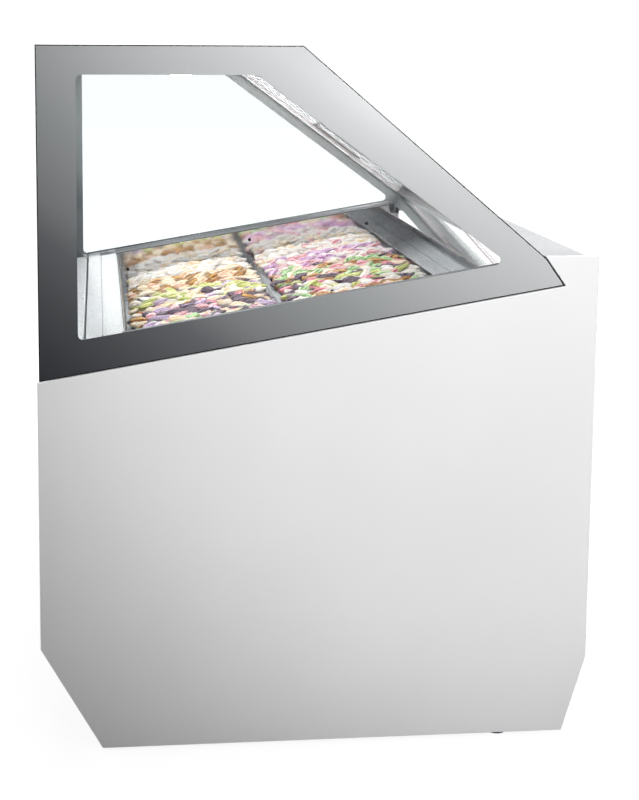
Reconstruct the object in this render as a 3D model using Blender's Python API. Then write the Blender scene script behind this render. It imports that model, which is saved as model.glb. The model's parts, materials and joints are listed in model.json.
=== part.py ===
"""Ice cream display freezer, built as separate sub-parts.

Frame: X runs along the cabinet, -Y is the customer's side with the front glass, +Y the server's side with
the sliding doors, Z is up. The origin is the middle of the footprint, on the floor. Sizes are in metres.
"""

import math

import bmesh
import bpy
from mathutils import Matrix, Vector

# Driving sizes of the whole cabinet.
DEPTH = 1.067  # side panels, front edge to rear edge
HEIGHT = 1.350  # floor to the top of the glass
BELT_HEIGHT = 0.7259  # foot of the front glass, at the front edge of the side panels
DECK_ANGLE = math.radians(9.74)  # the well and the pans slope down to the customer
PANEL_FOOT = 0.004  # floor to the lower edge of the side panels
GAP = 0.0003  # between pieces that touch
SEAM = 0.0012  # shown between glass and panels

# Gastronorm 1/3 pans, in rows along X.
PAN_COLUMNS = 6
PAN_WIDTH = 0.176
PAN_LENGTH = 0.325
PAN_DEPTH = 0.120
PAN_GAP = 0.0008
PAN_CORNER = 0.022
PAN_FLANGE = 0.009
PAN_TAPER = 0.008
PAN_SHEET = 0.001
PAN_LIFT = 0.120

# Insulated tank. Lengths along the deck, from the customer's side to the server's.
TANK_FRONT = 0.1015  # front edge of the panels to the tank
FRONT_WALL = 0.071
END_WALL = 0.0427
REAR_WALL = 0.063
TANK_FLOOR = 0.045
RIM_RISE = 0.0566  # belt line to the rim of the well
RIM_TO_PANS = 0.077
WELL_END_ROOM = 0.004
PAN_FRONT_ROOM = 0.0095
CENTER_BAR = 0.0112
REAR_DUCT = 0.0538
COIL_ROOM = 0.105  # under the pans
LINER_SHEET = 0.0012
REAR_WALL_DROP = 0.0228  # the rear wall ends this far below the rim
LEDGE_SHEET = 0.003

# Glass case.
SIDE_PANEL = 0.010
SIDE_GLASS = 0.008
FRONT_GLASS = 0.008
GLASS_INSET = 0.0036  # side glass behind the edge of the panel
TOP_DEPTH = 0.491
TOP_PANEL = 0.006
HEEL_INSET = 0.1035  # rear edge of the panels to the heel of the side glass
HEEL_DROP = 0.0037
TOE_INSET = 0.0655
CANOPY_FRONT = 0.2155
CANOPY_DEEP = 0.053
CANOPY_SHALLOW = 0.036
CANOPY_CHAMFER = 0.022
LAMP_WIDTH = 0.034
LAMP_DROP = 0.004
LAMP_INSET = 0.040

# Sliding doors, in two planes that slope down to the worktop.
DOOR_PANE = 0.005
DOOR_PITCH = 0.010  # from one plane to the other
DOOR_PLAY = 0.001
DOOR_OVERLAP = 0.040
DOOR_TRAVEL = 0.480
TRACK_DEEP = 0.012
TRACK_FLOOR = 0.004
TRACK_WALL = 0.004
TRACK_FOOT = 0.018
END_FRAME = 0.0125
PULL_WIDTH = 0.020
PULL_LENGTH = 0.150
PULL_HEIGHT = 0.014
PULL_START = 0.150
PULL_INSET = 0.010
LIP_RUN = 0.0424
LIP_RISE = 0.0333

# Cabinet body.
WORKTOP_THICK = 0.020
WORKTOP_STEP = 0.0037  # over the crest of the rear lip
REAR_INSET = 0.0215  # the back is behind the rear edges of the side panels
PANEL_SHEET = 0.010
KICK_SHEET = 0.008
GRILLE_SHEET = 0.003
FRONT_CHAMFER = (0.1166, 0.206)
REAR_CHAMFER = (0.0445, 0.1555)
GRILLE_TOP = 0.5745
CHASSIS_FOOT = 0.044
CHASSIS_SHEET = 0.003
CHASSIS_RAIL = 0.040
FOOT_RADIUS = 0.020
FOOT_PAD = 0.003
STEM_RADIUS = 0.006

# What follows from them.
COS = math.cos(DECK_ANGLE)
SIN = math.sin(DECK_ANGLE)
TAN = math.tan(DECK_ANGLE)
Y_FRONT = -DEPTH / 2
Y_REAR = DEPTH / 2
WELL_HALF = PAN_COLUMNS * PAN_WIDTH / 2 + WELL_END_ROOM
INNER_HALF = WELL_HALF + END_WALL
GLASS_HALF = INNER_HALF + GAP
LENGTH = 2 * (GLASS_HALF + SIDE_PANEL)
WELL_FRONT = TANK_FRONT + FRONT_WALL
PANS_FRONT = WELL_FRONT + PAN_FRONT_ROOM
PANS_REAR = PANS_FRONT + 2 * PAN_LENGTH + CENTER_BAR
WELL_REAR = PANS_REAR + REAR_DUCT
TANK_REAR = WELL_REAR + REAR_WALL
PAN_TOP = RIM_RISE - RIM_TO_PANS
WELL_BOTTOM = PAN_TOP - PAN_DEPTH - COIL_ROOM
TANK_BOTTOM = WELL_BOTTOM - TANK_FLOOR
RAIL_TOP = PAN_TOP - PAN_SHEET - GAP
REAR_TOP = RIM_RISE - REAR_WALL_DROP
TOP_REAR = Y_FRONT + GLASS_INSET + TOP_DEPTH
CASE_TOP = HEIGHT - TOP_PANEL - GAP
BACK = Y_REAR - REAR_INSET
REAR_FACE = BACK - 0.002
COVER_FACE = BACK + 0.0115  # front of the control housing


def deck(along, up):
    """World (Y, Z) of a point along the sloping deck and up from the belt line."""
    return Y_FRONT + along * COS - up * SIN, BELT_HEIGHT + along * SIN + up * COS


def belt(y):
    """Height of the belt line, where side glass and side panel meet."""
    return BELT_HEIGHT + (y - Y_FRONT) * TAN


def along_at(y, up):
    """How far along the deck the point at this Y and this height above the belt line lies."""
    return (y - Y_FRONT + up * SIN) / COS


CREST = deck(WELL_REAR + LIP_RUN, REAR_TOP + LIP_RISE)
WORKTOP_HEIGHT = CREST[1] + WORKTOP_STEP
WORKTOP_FRONT = CREST[0] + TRACK_FOOT + 0.001
DOOR_LOW = (CREST[0] + 0.004, CREST[1] + 0.0126)
DOOR_HIGH = (TOP_REAR - 0.0196, HEIGHT - 0.0562)
DOOR_RUN = math.dist(DOOR_LOW, DOOR_HIGH)
DOOR_UP = ((DOOR_HIGH[0] - DOOR_LOW[0]) / DOOR_RUN, (DOOR_HIGH[1] - DOOR_LOW[1]) / DOOR_RUN)
DOOR_OUT = (DOOR_UP[1], -DOOR_UP[0])
DOOR_HALF = INNER_HALF - END_FRAME - 0.0017
TRACK_LOW = -DOOR_PITCH / 2 - DOOR_PANE / 2 - DOOR_PLAY - TRACK_WALL
TRACK_HIGH = -TRACK_LOW


def door(along, out):
    """World (Y, Z) of a point up the door's slope and out from the middle plane of the doors."""
    return (
        DOOR_LOW[0] + along * DOOR_UP[0] + out * DOOR_OUT[0],
        DOOR_LOW[1] + along * DOOR_UP[1] + out * DOOR_OUT[1],
    )


def clear_scene():
    for old in list(bpy.data.objects):
        bpy.data.objects.remove(old, do_unlink=True)


def principled(name, colour, roughness, metallic=0.0, transmission=0.0):
    material = bpy.data.materials.new(name)
    material.use_nodes = True
    shader = material.node_tree.nodes["Principled BSDF"]
    shader.inputs["Base Color"].default_value = (*colour, 1.0)
    shader.inputs["Roughness"].default_value = roughness
    shader.inputs["Metallic"].default_value = metallic
    shader.inputs["Transmission Weight"].default_value = transmission
    material.diffuse_color = (*colour, 1.0)
    return material


def add_object(name, bm, material, smooth=False):
    """Closes a bmesh into an object of the scene, with its faces pointing out."""
    bmesh.ops.recalc_face_normals(bm, faces=bm.faces)
    mesh = bpy.data.meshes.new(name)
    bm.to_mesh(mesh)
    bm.free()
    if smooth:
        mesh.shade_smooth()
        mesh.set_sharp_from_angle(angle=math.radians(35))
    mesh.materials.append(material)
    obj = bpy.data.objects.new(name, mesh)
    bpy.context.scene.collection.objects.link(obj)
    return obj


def extruded(bm, points, step):
    """Adds the closed solid that a flat outline sweeps when it moves by step."""
    face = bm.faces.new([bm.verts.new(point) for point in points])
    swept = bmesh.ops.extrude_face_region(bm, geom=[face])
    moved = [item for item in swept["geom"] if isinstance(item, bmesh.types.BMVert)]
    bmesh.ops.translate(bm, verts=moved, vec=step)


def prism(name, outline, x_low, x_high, material):
    """A (Y, Z) outline extruded along X."""
    bm = bmesh.new()
    extruded(bm, [(x_low, y, z) for y, z in outline], (x_high - x_low, 0, 0))
    return add_object(name, bm, material)


def block(name, low, high, material):
    """A box between two corners."""
    outline = [(low[1], low[2]), (high[1], low[2]), (high[1], high[2]), (low[1], high[2])]
    return prism(name, outline, low[0], high[0], material)


def deck_block(name, x, along, up, material):
    """A box that lies square to the deck, between pairs of X, along and up."""
    corners = [(along[0], up[0]), (along[1], up[0]), (along[1], up[1]), (along[0], up[1])]
    return prism(name, [deck(*corner) for corner in corners], x[0], x[1], material)


def turned(name, profile, material, segments=16, ring=False):
    """A (radius, height) profile turned about local Z. A ring's profile closes on itself, away from the axis."""
    bm = bmesh.new()
    loops = []
    for radius, height in profile:
        if radius == 0:
            loops.append([bm.verts.new((0, 0, height))])
            continue
        turns = [2 * math.pi * i / segments for i in range(segments)]
        loops.append([bm.verts.new((radius * math.cos(a), radius * math.sin(a), height)) for a in turns])
    pairs = list(zip(loops, loops[1:]))
    if ring:
        pairs.append((loops[-1], loops[0]))
    for low, high in pairs:
        for i in range(segments):
            corners = [low[i % len(low)], low[(i + 1) % len(low)], high[(i + 1) % len(high)], high[i % len(high)]]
            bm.faces.new(list(dict.fromkeys(corners)))
    return add_object(name, bm, material, smooth=True)


def combine(target, tool, operation):
    """Joins or cuts a target with a tool, which stays in the scene as a hidden helper."""
    tool.hide_render = True
    tool.display_type = "WIRE"
    change = target.modifiers.new(tool.name, "BOOLEAN")
    change.operation = operation
    change.solver = "EXACT"
    change.object = tool
    return target


def placed(obj, matrix):
    obj.matrix_world = matrix
    return obj


def deck_place(x, along, up):
    """Local axes square to the deck, at a point on it."""
    y, z = deck(along, up)
    return Matrix.Translation((x, y, z)) @ Matrix.Rotation(DECK_ANGLE, 4, "X")


def add_feet(material):
    """Four levelling feet: the rear ones stand out to the panels, the front ones further in."""
    stem_top = CHASSIS_FOOT - GAP
    profile = [
        (0, 0),
        (FOOT_RADIUS, 0),
        (FOOT_RADIUS, FOOT_PAD),
        (0.011, FOOT_PAD + 0.0007),
        (0.009, 0.012),
        (STEM_RADIUS, 0.013),
        (STEM_RADIUS, stem_top),
        (0, stem_top),
    ]
    rear_x = LENGTH / 2 - FOOT_RADIUS - 0.002
    front_x = rear_x - 0.030
    places = {
        "foot_front_left": (-front_x, Y_FRONT + 0.2335),
        "foot_front_right": (front_x, Y_FRONT + 0.2335),
        "foot_rear_left": (-rear_x, Y_REAR - 0.1715),
        "foot_rear_right": (rear_x, Y_REAR - 0.1715),
    }
    for name, (x, y) in places.items():
        placed(turned(name, profile, material), Matrix.Translation((x, y, 0)))


def add_chassis(material):
    """Folded steel floor with a front rail and two end sheets that carry the tank."""
    front = Y_FRONT + 0.1415
    rear = BACK - 0.050
    top = CHASSIS_FOOT + CHASSIS_SHEET
    floor = [
        (front, CHASSIS_FOOT),
        (rear, CHASSIS_FOOT),
        (rear, top),
        (front + CHASSIS_RAIL, top),
        (front + CHASSIS_RAIL, CHASSIS_FOOT + CHASSIS_RAIL),
        (front, CHASSIS_FOOT + CHASSIS_RAIL),
    ]
    chassis = prism("chassis", floor, -INNER_HALF, INNER_HALF, material)
    tank_front = deck(TANK_FRONT + 0.010, TANK_BOTTOM - GAP)
    tank_rear = deck(TANK_REAR - 0.010, TANK_BOTTOM - GAP)
    sheet = [(tank_front[0], top - 0.001), (rear, top - 0.001), (rear, tank_rear[1]), tank_rear, tank_front]
    for side in (-1, 1):
        ends = sorted((side * (INNER_HALF - CHASSIS_SHEET), side * INNER_HALF))
        combine(chassis, prism(f"end_sheet_{side}", sheet, *ends, material), "UNION")


def add_tank(material):
    """Foamed tank: thick walls round the open well, the rear one lower to take the lip."""
    outline = [
        deck(TANK_FRONT, TANK_BOTTOM),
        deck(TANK_REAR, TANK_BOTTOM),
        deck(TANK_REAR, REAR_TOP - GAP),
        deck(WELL_REAR - GAP, REAR_TOP - GAP),
        deck(WELL_REAR - GAP, RIM_RISE - LEDGE_SHEET - GAP),
        deck(TANK_FRONT, RIM_RISE - LEDGE_SHEET - GAP),
    ]
    tank = prism("tank_shell", outline, -INNER_HALF, INNER_HALF, material)
    well = deck_block(
        "well_cut", (-WELL_HALF, WELL_HALF), (WELL_FRONT, WELL_REAR), (WELL_BOTTOM, RIM_RISE), material
    )
    combine(tank, well, "DIFFERENCE")


def add_liner(material):
    """Steel tub in the well, with a flange over each end wall."""
    half = WELL_HALF - GAP
    along = (WELL_FRONT + GAP, WELL_REAR - 2 * GAP)
    low = WELL_BOTTOM + GAP
    top = RIM_RISE - LEDGE_SHEET + LINER_SHEET
    liner = deck_block("tank_liner", (-half, half), along, (low, top), material)
    flange = deck_block(
        "liner_flange", (-INNER_HALF, INNER_HALF), along, (top - LINER_SHEET, top), material
    )
    inside = deck_block(
        "liner_cut",
        (-half + LINER_SHEET, half - LINER_SHEET),
        (along[0] + LINER_SHEET, along[1] - LINER_SHEET),
        (low + LINER_SHEET, top + 0.010),
        material,
    )
    rear_cut = deck_block(
        "liner_rear_cut",
        (-half - 0.0001, half + 0.0001),
        (along[1] - LINER_SHEET - 0.0001, along[1] + 0.010),
        (REAR_TOP - GAP, top + 0.010),
        material,
    )
    combine(liner, flange, "UNION")
    combine(liner, inside, "DIFFERENCE")
    combine(liner, rear_cut, "DIFFERENCE")


def rounded_loop(bm, half_x, half_y, radius, z, steps=3):
    """A rounded rectangle of vertices, anticlockwise seen from above."""
    loop = []
    for quarter, (sx, sy) in enumerate(((1, 1), (-1, 1), (-1, -1), (1, -1))):
        for step in range(steps + 1):
            angle = math.pi / 2 * (quarter + step / steps)
            x = sx * (half_x - radius) + radius * math.cos(angle)
            y = sy * (half_y - radius) + radius * math.sin(angle)
            loop.append(bm.verts.new((x, y, z)))
    return loop


def pan_mesh(bm):
    """An open pan with tapered walls. Its flange top is at local Z 0."""
    half_x = PAN_WIDTH / 2 - PAN_GAP / 2
    half_y = PAN_LENGTH / 2 - PAN_GAP / 2
    wall_x = half_x - PAN_FLANGE
    wall_y = half_y - PAN_FLANGE
    rings = [
        (wall_x - PAN_TAPER, wall_y - PAN_TAPER, PAN_CORNER, -PAN_DEPTH),
        (wall_x, wall_y, PAN_CORNER, -PAN_SHEET),
        (half_x, half_y, PAN_CORNER / 2, -PAN_SHEET),
        (half_x, half_y, PAN_CORNER / 2, 0),
        (wall_x - PAN_SHEET, wall_y - PAN_SHEET, PAN_CORNER - PAN_SHEET, 0),
        (
            wall_x - PAN_TAPER - PAN_SHEET,
            wall_y - PAN_TAPER - PAN_SHEET,
            PAN_CORNER - PAN_SHEET,
            -PAN_DEPTH + PAN_SHEET,
        ),
    ]
    loops = [rounded_loop(bm, *ring) for ring in rings]
    for low, high in zip(loops, loops[1:]):
        for i in range(len(low)):
            j = (i + 1) % len(low)
            bm.faces.new((low[i], low[j], high[j], high[i]))
    bm.faces.new(loops[0])
    bm.faces.new(loops[-1])


def add_pans(material):
    """Two rows of pans, each lifted out square to the deck. Column 1 is at -X."""
    rows = {"front": PANS_FRONT + PAN_LENGTH / 2, "rear": PANS_REAR - PAN_LENGTH / 2}
    for row, along in rows.items():
        for column in range(PAN_COLUMNS):
            x = (column - (PAN_COLUMNS - 1) / 2) * PAN_WIDTH
            bm = bmesh.new()
            pan_mesh(bm)
            pan = add_object(f"pan_{row}_{column + 1}", bm, material, smooth=True)
            placed(pan, deck_place(x, along, PAN_TOP))


def add_pan_rails(material):
    """Three rails across the well that carry the pans by their flanges. The rear one covers the air return."""
    half = WELL_HALF - LINER_SHEET - 2 * GAP
    sheet = 0.0023
    seat = PAN_FLANGE - 0.0015
    low = RAIL_TOP - sheet
    wall = WELL_FRONT + LINER_SHEET + 2 * GAP
    front = [
        (wall, RAIL_TOP),
        (wall, low - 0.030),
        (wall + sheet, low - 0.030),
        (wall + sheet, low),
        (PANS_FRONT + seat, low),
        (PANS_FRONT + seat, RAIL_TOP),
    ]
    middle = PANS_FRONT + PAN_LENGTH + CENTER_BAR / 2
    reach = CENTER_BAR / 2 + seat
    rib = CENTER_BAR / 2 - 0.001
    center = [
        (middle - reach, low),
        (middle - sheet, low),
        (middle - sheet, low - 0.030),
        (middle + sheet, low - 0.030),
        (middle + sheet, low),
        (middle + reach, low),
        (middle + reach, RAIL_TOP),
        (middle + rib, RAIL_TOP),
        (middle + rib, PAN_TOP + 0.0015),
        (middle - rib, PAN_TOP + 0.0015),
        (middle - rib, RAIL_TOP),
        (middle - reach, RAIL_TOP),
    ]
    rear_wall = WELL_REAR - LINER_SHEET - 3 * GAP
    stand = PANS_REAR + 0.0015
    rear = [
        (PANS_REAR - seat, RAIL_TOP),
        (PANS_REAR - seat, low),
        (rear_wall, low),
        (rear_wall, RAIL_TOP),
        (stand + sheet, RAIL_TOP),
        (stand + sheet, PAN_TOP + 0.010),
        (stand, PAN_TOP + 0.010),
        (stand, RAIL_TOP),
    ]
    prism("pan_rail_front", [deck(*point) for point in front], -half, half, material)
    prism("pan_rail_center", [deck(*point) for point in center], -half, half, material)
    prism("pan_rail_rear", [deck(*point) for point in rear], -half, half, material)


def finned_mesh(bm, core, fin, x_low, x_high, fins, sheet, end_low=None):
    """Fins on a core, stacked along X. core and fin are (low, high) corners in (Y, Z). end_low drops the end plates."""
    pitch = (x_high - x_low - sheet) / (fins - 1)
    sections = []
    for i in range(fins):
        x = x_low + i * pitch
        low, high = fin
        if end_low is not None and i in (0, fins - 1):
            low = (low[0], end_low)
        if i:
            sections.append((x, core[0], core[1]))
        sections.append((x, low, high))
        sections.append((x + sheet, low, high))
        if i < fins - 1:
            sections.append((x + sheet, core[0], core[1]))
    loops = []
    for x, low, high in sections:
        corners = ((low[0], low[1]), (high[0], low[1]), (high[0], high[1]), (low[0], high[1]))
        loops.append([bm.verts.new((x, y, z)) for y, z in corners])
    for first, second in zip(loops, loops[1:]):
        for i in range(4):
            j = (i + 1) % 4
            bm.faces.new((first[i], first[j], second[j], second[i]))
    bm.faces.new(loops[0])
    bm.faces.new(loops[-1])


def add_evaporator(coil_material, plastic, blade_material):
    """Finned coil and its fan on the floor of the well, under the pans."""
    bm = bmesh.new()
    low = LINER_SHEET + 3 * GAP
    finned_mesh(
        bm,
        core=((-0.190, low + 0.014), (0.190, low + 0.056)),
        fin=((-0.200, low), (0.200, low + 0.070)),
        x_low=-0.420,
        x_high=0.420,
        fins=16,
        sheet=0.004,
    )
    coil = add_object("evaporator_coil", bm, coil_material)
    placed(coil, deck_place(0, WELL_FRONT + 0.270, WELL_BOTTOM))
    center = WELL_BOTTOM + low + 0.042
    place = deck_place(0, WELL_FRONT + 0.540, center) @ Matrix.Rotation(-math.pi / 2, 4, "X")
    add_fan("evaporator_fan", place, 0.033, (0.060, 0.041), 0.020, plastic, blade_material)


def add_fan(name, place, radius, half_plate, deep, frame_material, blade_material):
    """Shroud with its motor, and a rotor in it. The fan turns about local Z, with the motor on the -Z side."""
    room = 0.003
    wall = 0.0015 + 0.03 * radius
    sheet = 0.003
    bar = 0.002
    lap = 0.0005
    shroud = block(
        f"{name}_shroud", (-half_plate[0], -half_plate[1], 0), (half_plate[0], half_plate[1], sheet), frame_material
    )
    ring = turned(f"{name}_ring", disc(radius + room + wall, -deep, sheet - lap), frame_material, 24)
    hole = turned(f"{name}_hole", disc(radius + room, -deep - 0.01, sheet + 0.01), frame_material, 24)
    motor = turned(f"{name}_motor", disc(0.32 * radius, -1.7 * deep, -deep + 3 * lap), frame_material)
    reach = radius + room + wall / 2
    spoke = 0.10 * radius
    across = block(f"{name}_across", (-reach, -spoke, -deep + lap), (reach, spoke, -deep + lap + bar), frame_material)
    upright = block(
        f"{name}_upright", (-spoke, -reach, -deep + 2 * lap), (spoke, reach, -deep + 2 * lap + bar), frame_material
    )
    rotor = add_object(f"{name}_rotor", rotor_mesh(radius, -deep + 0.004, -0.001), blade_material, smooth=True)
    for obj in (shroud, ring, hole, motor, across, upright, rotor):
        placed(obj, place)
    combine(shroud, ring, "UNION")
    combine(shroud, hole, "DIFFERENCE")
    for piece in (across, upright, motor):
        combine(shroud, piece, "UNION")


def disc(radius, low, high):
    """Profile of a plain cylinder."""
    return [(0, low), (radius, low), (radius, high), (0, high)]


def rotor_mesh(radius, low, high, blades=5, layers=4):
    """A hub whose blades twist round it from one face to the other."""
    hub = 0.36 * radius
    twist = math.radians(38)
    thick = math.radians(9)
    bm = bmesh.new()
    rings = []
    for layer in range(layers + 1):
        share = layer / layers
        ring = []
        for blade in range(blades):
            start = 2 * math.pi * blade / blades + twist * share
            marks = (
                (hub, start),
                (radius, start),
                (radius, start + 0.5 * thick),
                (hub, start + thick),
                (hub, start + thick + 0.33 * (2 * math.pi / blades - thick)),
                (hub, start + thick + 0.67 * (2 * math.pi / blades - thick)),
            )
            for r, a in marks:
                ring.append(bm.verts.new((r * math.cos(a), r * math.sin(a), low + share * (high - low))))
        rings.append(ring)
    for lower, upper in zip(rings, rings[1:]):
        for i in range(len(lower)):
            j = (i + 1) % len(lower)
            bm.faces.new((lower[i], lower[j], upper[j], upper[i]))
    bm.faces.new(rings[0])
    bm.faces.new(rings[-1])
    return bm


def add_well_trim(white, steel):
    """White ledge and sill on the customer's side, polished lip on the server's side."""
    ledge = [
        deck(TANK_FRONT, RIM_RISE - LEDGE_SHEET),
        deck(WELL_FRONT - GAP, RIM_RISE - LEDGE_SHEET),
        deck(WELL_FRONT - GAP, RIM_RISE),
        deck(TANK_FRONT, RIM_RISE),
    ]
    prism("front_ledge", ledge, -INNER_HALF, INNER_HALF, white)
    sill_front = Y_FRONT + GLASS_INSET + FRONT_GLASS + GAP
    sill_rear = TANK_FRONT - 0.0048
    sill_low = RIM_RISE - 0.026
    sill = [
        deck(along_at(sill_front, sill_low), sill_low),
        deck(sill_rear, sill_low),
        deck(sill_rear, RIM_RISE),
        deck(along_at(sill_front, RIM_RISE), RIM_RISE),
    ]
    prism("front_sill", sill, -INNER_HALF, INNER_HALF, white)
    seat_rear = CREST[0] + TRACK_FOOT + 0.0007
    lip = [
        deck(WELL_REAR, REAR_TOP),
        deck(along_at(seat_rear, REAR_TOP), REAR_TOP),
        (seat_rear, CREST[1]),
        CREST,
    ]
    prism("rear_lip", lip, -INNER_HALF, INNER_HALF, steel)


def add_glass(clear, dark):
    """Side glasses, front glass and the dark panel on top."""
    front = Y_FRONT + GLASS_INSET
    heel = Y_REAR - HEEL_INSET
    toe = Y_REAR - TOE_INSET
    side = [
        (front, belt(front)),
        (toe, belt(toe)),
        (heel, WORKTOP_HEIGHT - HEEL_DROP),
        (TOP_REAR, HEIGHT),
        (front, HEIGHT),
    ]
    prism("side_glass_left", side, -GLASS_HALF - SIDE_GLASS, -GLASS_HALF, clear)
    prism("side_glass_right", side, GLASS_HALF, GLASS_HALF + SIDE_GLASS, clear)
    block(
        "front_glass",
        (-INNER_HALF, front, BELT_HEIGHT + 0.002),
        (INNER_HALF, front + FRONT_GLASS, CASE_TOP),
        clear,
    )
    block(
        "top_panel",
        (-INNER_HALF, front, HEIGHT - TOP_PANEL),
        (INNER_HALF, TOP_REAR - 0.0005, HEIGHT),
        dark,
    )


def add_canopy(white, lens):
    """Lamp canopy under the top panel, with the diffuser of its light strip."""
    low = HEIGHT - CANOPY_DEEP
    front = Y_FRONT + CANOPY_FRONT
    seat = DOOR_RUN + TRACK_FLOOR + GAP
    seat_out = (low - DOOR_LOW[1] - seat * DOOR_UP[1]) / DOOR_OUT[1]
    track_top = door(seat, TRACK_HIGH + GAP)
    outline = [
        (front, CASE_TOP),
        (front, HEIGHT - CANOPY_SHALLOW),
        (front + CANOPY_CHAMFER, low),
        door(seat, seat_out),
        track_top,
        (TOP_REAR - 0.003, track_top[1]),
        (TOP_REAR - 0.003, CASE_TOP),
    ]
    prism("light_canopy", outline, -INNER_HALF, INNER_HALF, white)
    lamp = front + LAMP_INSET
    block(
        "lamp_diffuser",
        (-INNER_HALF + 0.030, lamp, low - GAP - LAMP_DROP),
        (INNER_HALF - 0.030, lamp + LAMP_WIDTH, low - GAP),
        lens,
    )


def track_teeth(base, tip):
    """The three walls of a track from its floor at base to their ends at tip, in door coordinates."""
    half = DOOR_PANE / 2 + DOOR_PLAY
    centers = (DOOR_PITCH / 2, -DOOR_PITCH / 2)
    points = [(tip, TRACK_HIGH)]
    for center in centers:
        points += [(tip, center + half), (base, center + half), (base, center - half), (tip, center - half)]
    points.append((tip, TRACK_LOW))
    return [door(*point) for point in points]


def add_door_tracks(alloy):
    """Double channels at the foot and the head of the doors, and a frame down each end."""
    foot = CREST[1] + GAP
    lower = [
        (CREST[0], foot),
        (CREST[0] + TRACK_FOOT, foot),
        (CREST[0] + TRACK_FOOT, foot + 0.0135),
        door(-TRACK_FLOOR, TRACK_HIGH),
        *track_teeth(0, TRACK_DEEP),
    ]
    prism("door_track_lower", lower, -INNER_HALF, INNER_HALF, alloy)
    upper = [
        door(DOOR_RUN + TRACK_FLOOR, TRACK_LOW),
        door(DOOR_RUN + TRACK_FLOOR, TRACK_HIGH),
        *track_teeth(DOOR_RUN, DOOR_RUN - TRACK_DEEP),
    ]
    prism("door_track_upper", upper, -INNER_HALF, INNER_HALF, alloy)
    frame = [
        door(TRACK_DEEP + GAP, TRACK_LOW),
        door(DOOR_RUN - TRACK_DEEP - GAP, TRACK_LOW),
        door(DOOR_RUN - TRACK_DEEP - GAP, TRACK_HIGH),
        door(TRACK_DEEP + GAP, TRACK_HIGH),
    ]
    prism("door_end_frame_left", frame, -INNER_HALF, -INNER_HALF + END_FRAME, alloy)
    prism("door_end_frame_right", frame, INNER_HALF - END_FRAME, INNER_HALF, alloy)


def add_doors(clear, alloy):
    """The left door runs in the inner plane and the right one outside it. Each has a pull at its outer end."""
    half = DOOR_PANE / 2
    for name, side, plane in (("left", -1, -DOOR_PITCH / 2), ("right", 1, DOOR_PITCH / 2)):
        pane = [
            door(0.001, plane - half),
            door(DOOR_RUN - 0.001, plane - half),
            door(DOOR_RUN - 0.001, plane + half),
            door(0.001, plane + half),
        ]
        ends = sorted((side * DOOR_HALF, -side * DOOR_OVERLAP / 2))
        prism(f"door_pane_{name}", pane, *ends, clear)
        face = plane + half + GAP
        grip = [
            door(PULL_START, face),
            door(PULL_START + PULL_LENGTH, face),
            door(PULL_START + PULL_LENGTH - 0.006, face + PULL_HEIGHT),
            door(PULL_START + 0.006, face + PULL_HEIGHT),
        ]
        outer = DOOR_HALF - PULL_INSET
        prism(f"door_pull_{name}", grip, *sorted((side * outer, side * (outer - PULL_WIDTH))), alloy)


def crossing(point, along, other_point, other_along):
    """Where two lines in the (Y, Z) plane meet."""
    between = other_point - point
    share = between.cross(other_along) / along.cross(other_along)
    return tuple(point + share * along)


def add_side_panels(white):
    """White end panels, whose upper edge runs a seam's width outside the side glass."""
    toe = Vector((Y_REAR - TOE_INSET, belt(Y_REAR - TOE_INSET)))
    heel = Vector((Y_REAR - HEEL_INSET, WORKTOP_HEIGHT - HEEL_DROP))
    cut = (heel - toe).normalized()
    cut_start = toe + SEAM * Vector((cut.y, -cut.x))
    belt_start = Vector((Y_FRONT, belt(Y_FRONT) - SEAM / COS))
    outline = [
        tuple(belt_start),
        (Y_FRONT, FRONT_CHAMFER[1]),
        (Y_FRONT + FRONT_CHAMFER[0], PANEL_FOOT),
        (Y_REAR - REAR_CHAMFER[0], PANEL_FOOT),
        (Y_REAR, REAR_CHAMFER[1]),
        (Y_REAR, WORKTOP_HEIGHT),
        crossing(cut_start, cut, Vector((0, WORKTOP_HEIGHT)), Vector((1, 0))),
        crossing(cut_start, cut, belt_start, Vector((COS, SIN))),
    ]
    prism("side_panel_left", outline, -LENGTH / 2, -GLASS_HALF, white)
    prism("side_panel_right", outline, GLASS_HALF, LENGTH / 2, white)


def add_body_panels(white, dark, steel):
    """Front panel, sloping kick plate, worktop and rear panel, between the side panels."""
    run = math.hypot(FRONT_CHAMFER[0], FRONT_CHAMFER[1] - PANEL_FOOT)
    down = Vector((FRONT_CHAMFER[0], PANEL_FOOT - FRONT_CHAMFER[1])) / run
    inward = Vector((-down.y, down.x))
    top = Vector((Y_FRONT, FRONT_CHAMFER[1])) + inward * GLASS_INSET
    ends = (top + down * 0.002, top + down * (run - 0.012))
    kick = [ends[0], ends[1], ends[1] + inward * KICK_SHEET, ends[0] + inward * KICK_SHEET]
    prism("front_kick", [tuple(point) for point in kick], -INNER_HALF, INNER_HALF, dark)
    front = Y_FRONT + GLASS_INSET
    block(
        "front_panel",
        (-INNER_HALF, front, kick[3].y + SEAM),
        (INNER_HALF, front + PANEL_SHEET, BELT_HEIGHT - SEAM),
        white,
    )
    block(
        "worktop",
        (-INNER_HALF, WORKTOP_FRONT, WORKTOP_HEIGHT - WORKTOP_THICK),
        (INNER_HALF, BACK, WORKTOP_HEIGHT - 0.0005),
        steel,
    )
    block(
        "rear_panel",
        (-INNER_HALF, REAR_FACE - PANEL_SHEET, GRILLE_TOP + GAP),
        (INNER_HALF, REAR_FACE, WORKTOP_HEIGHT - WORKTOP_THICK - GAP),
        white,
    )


TRAY_X = (0.100, 0.400)
TRAY_Z = (CHASSIS_FOOT + CHASSIS_SHEET + GAP, 0.095)
GLAND_X = -0.500
GLAND_Z = 0.220


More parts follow.
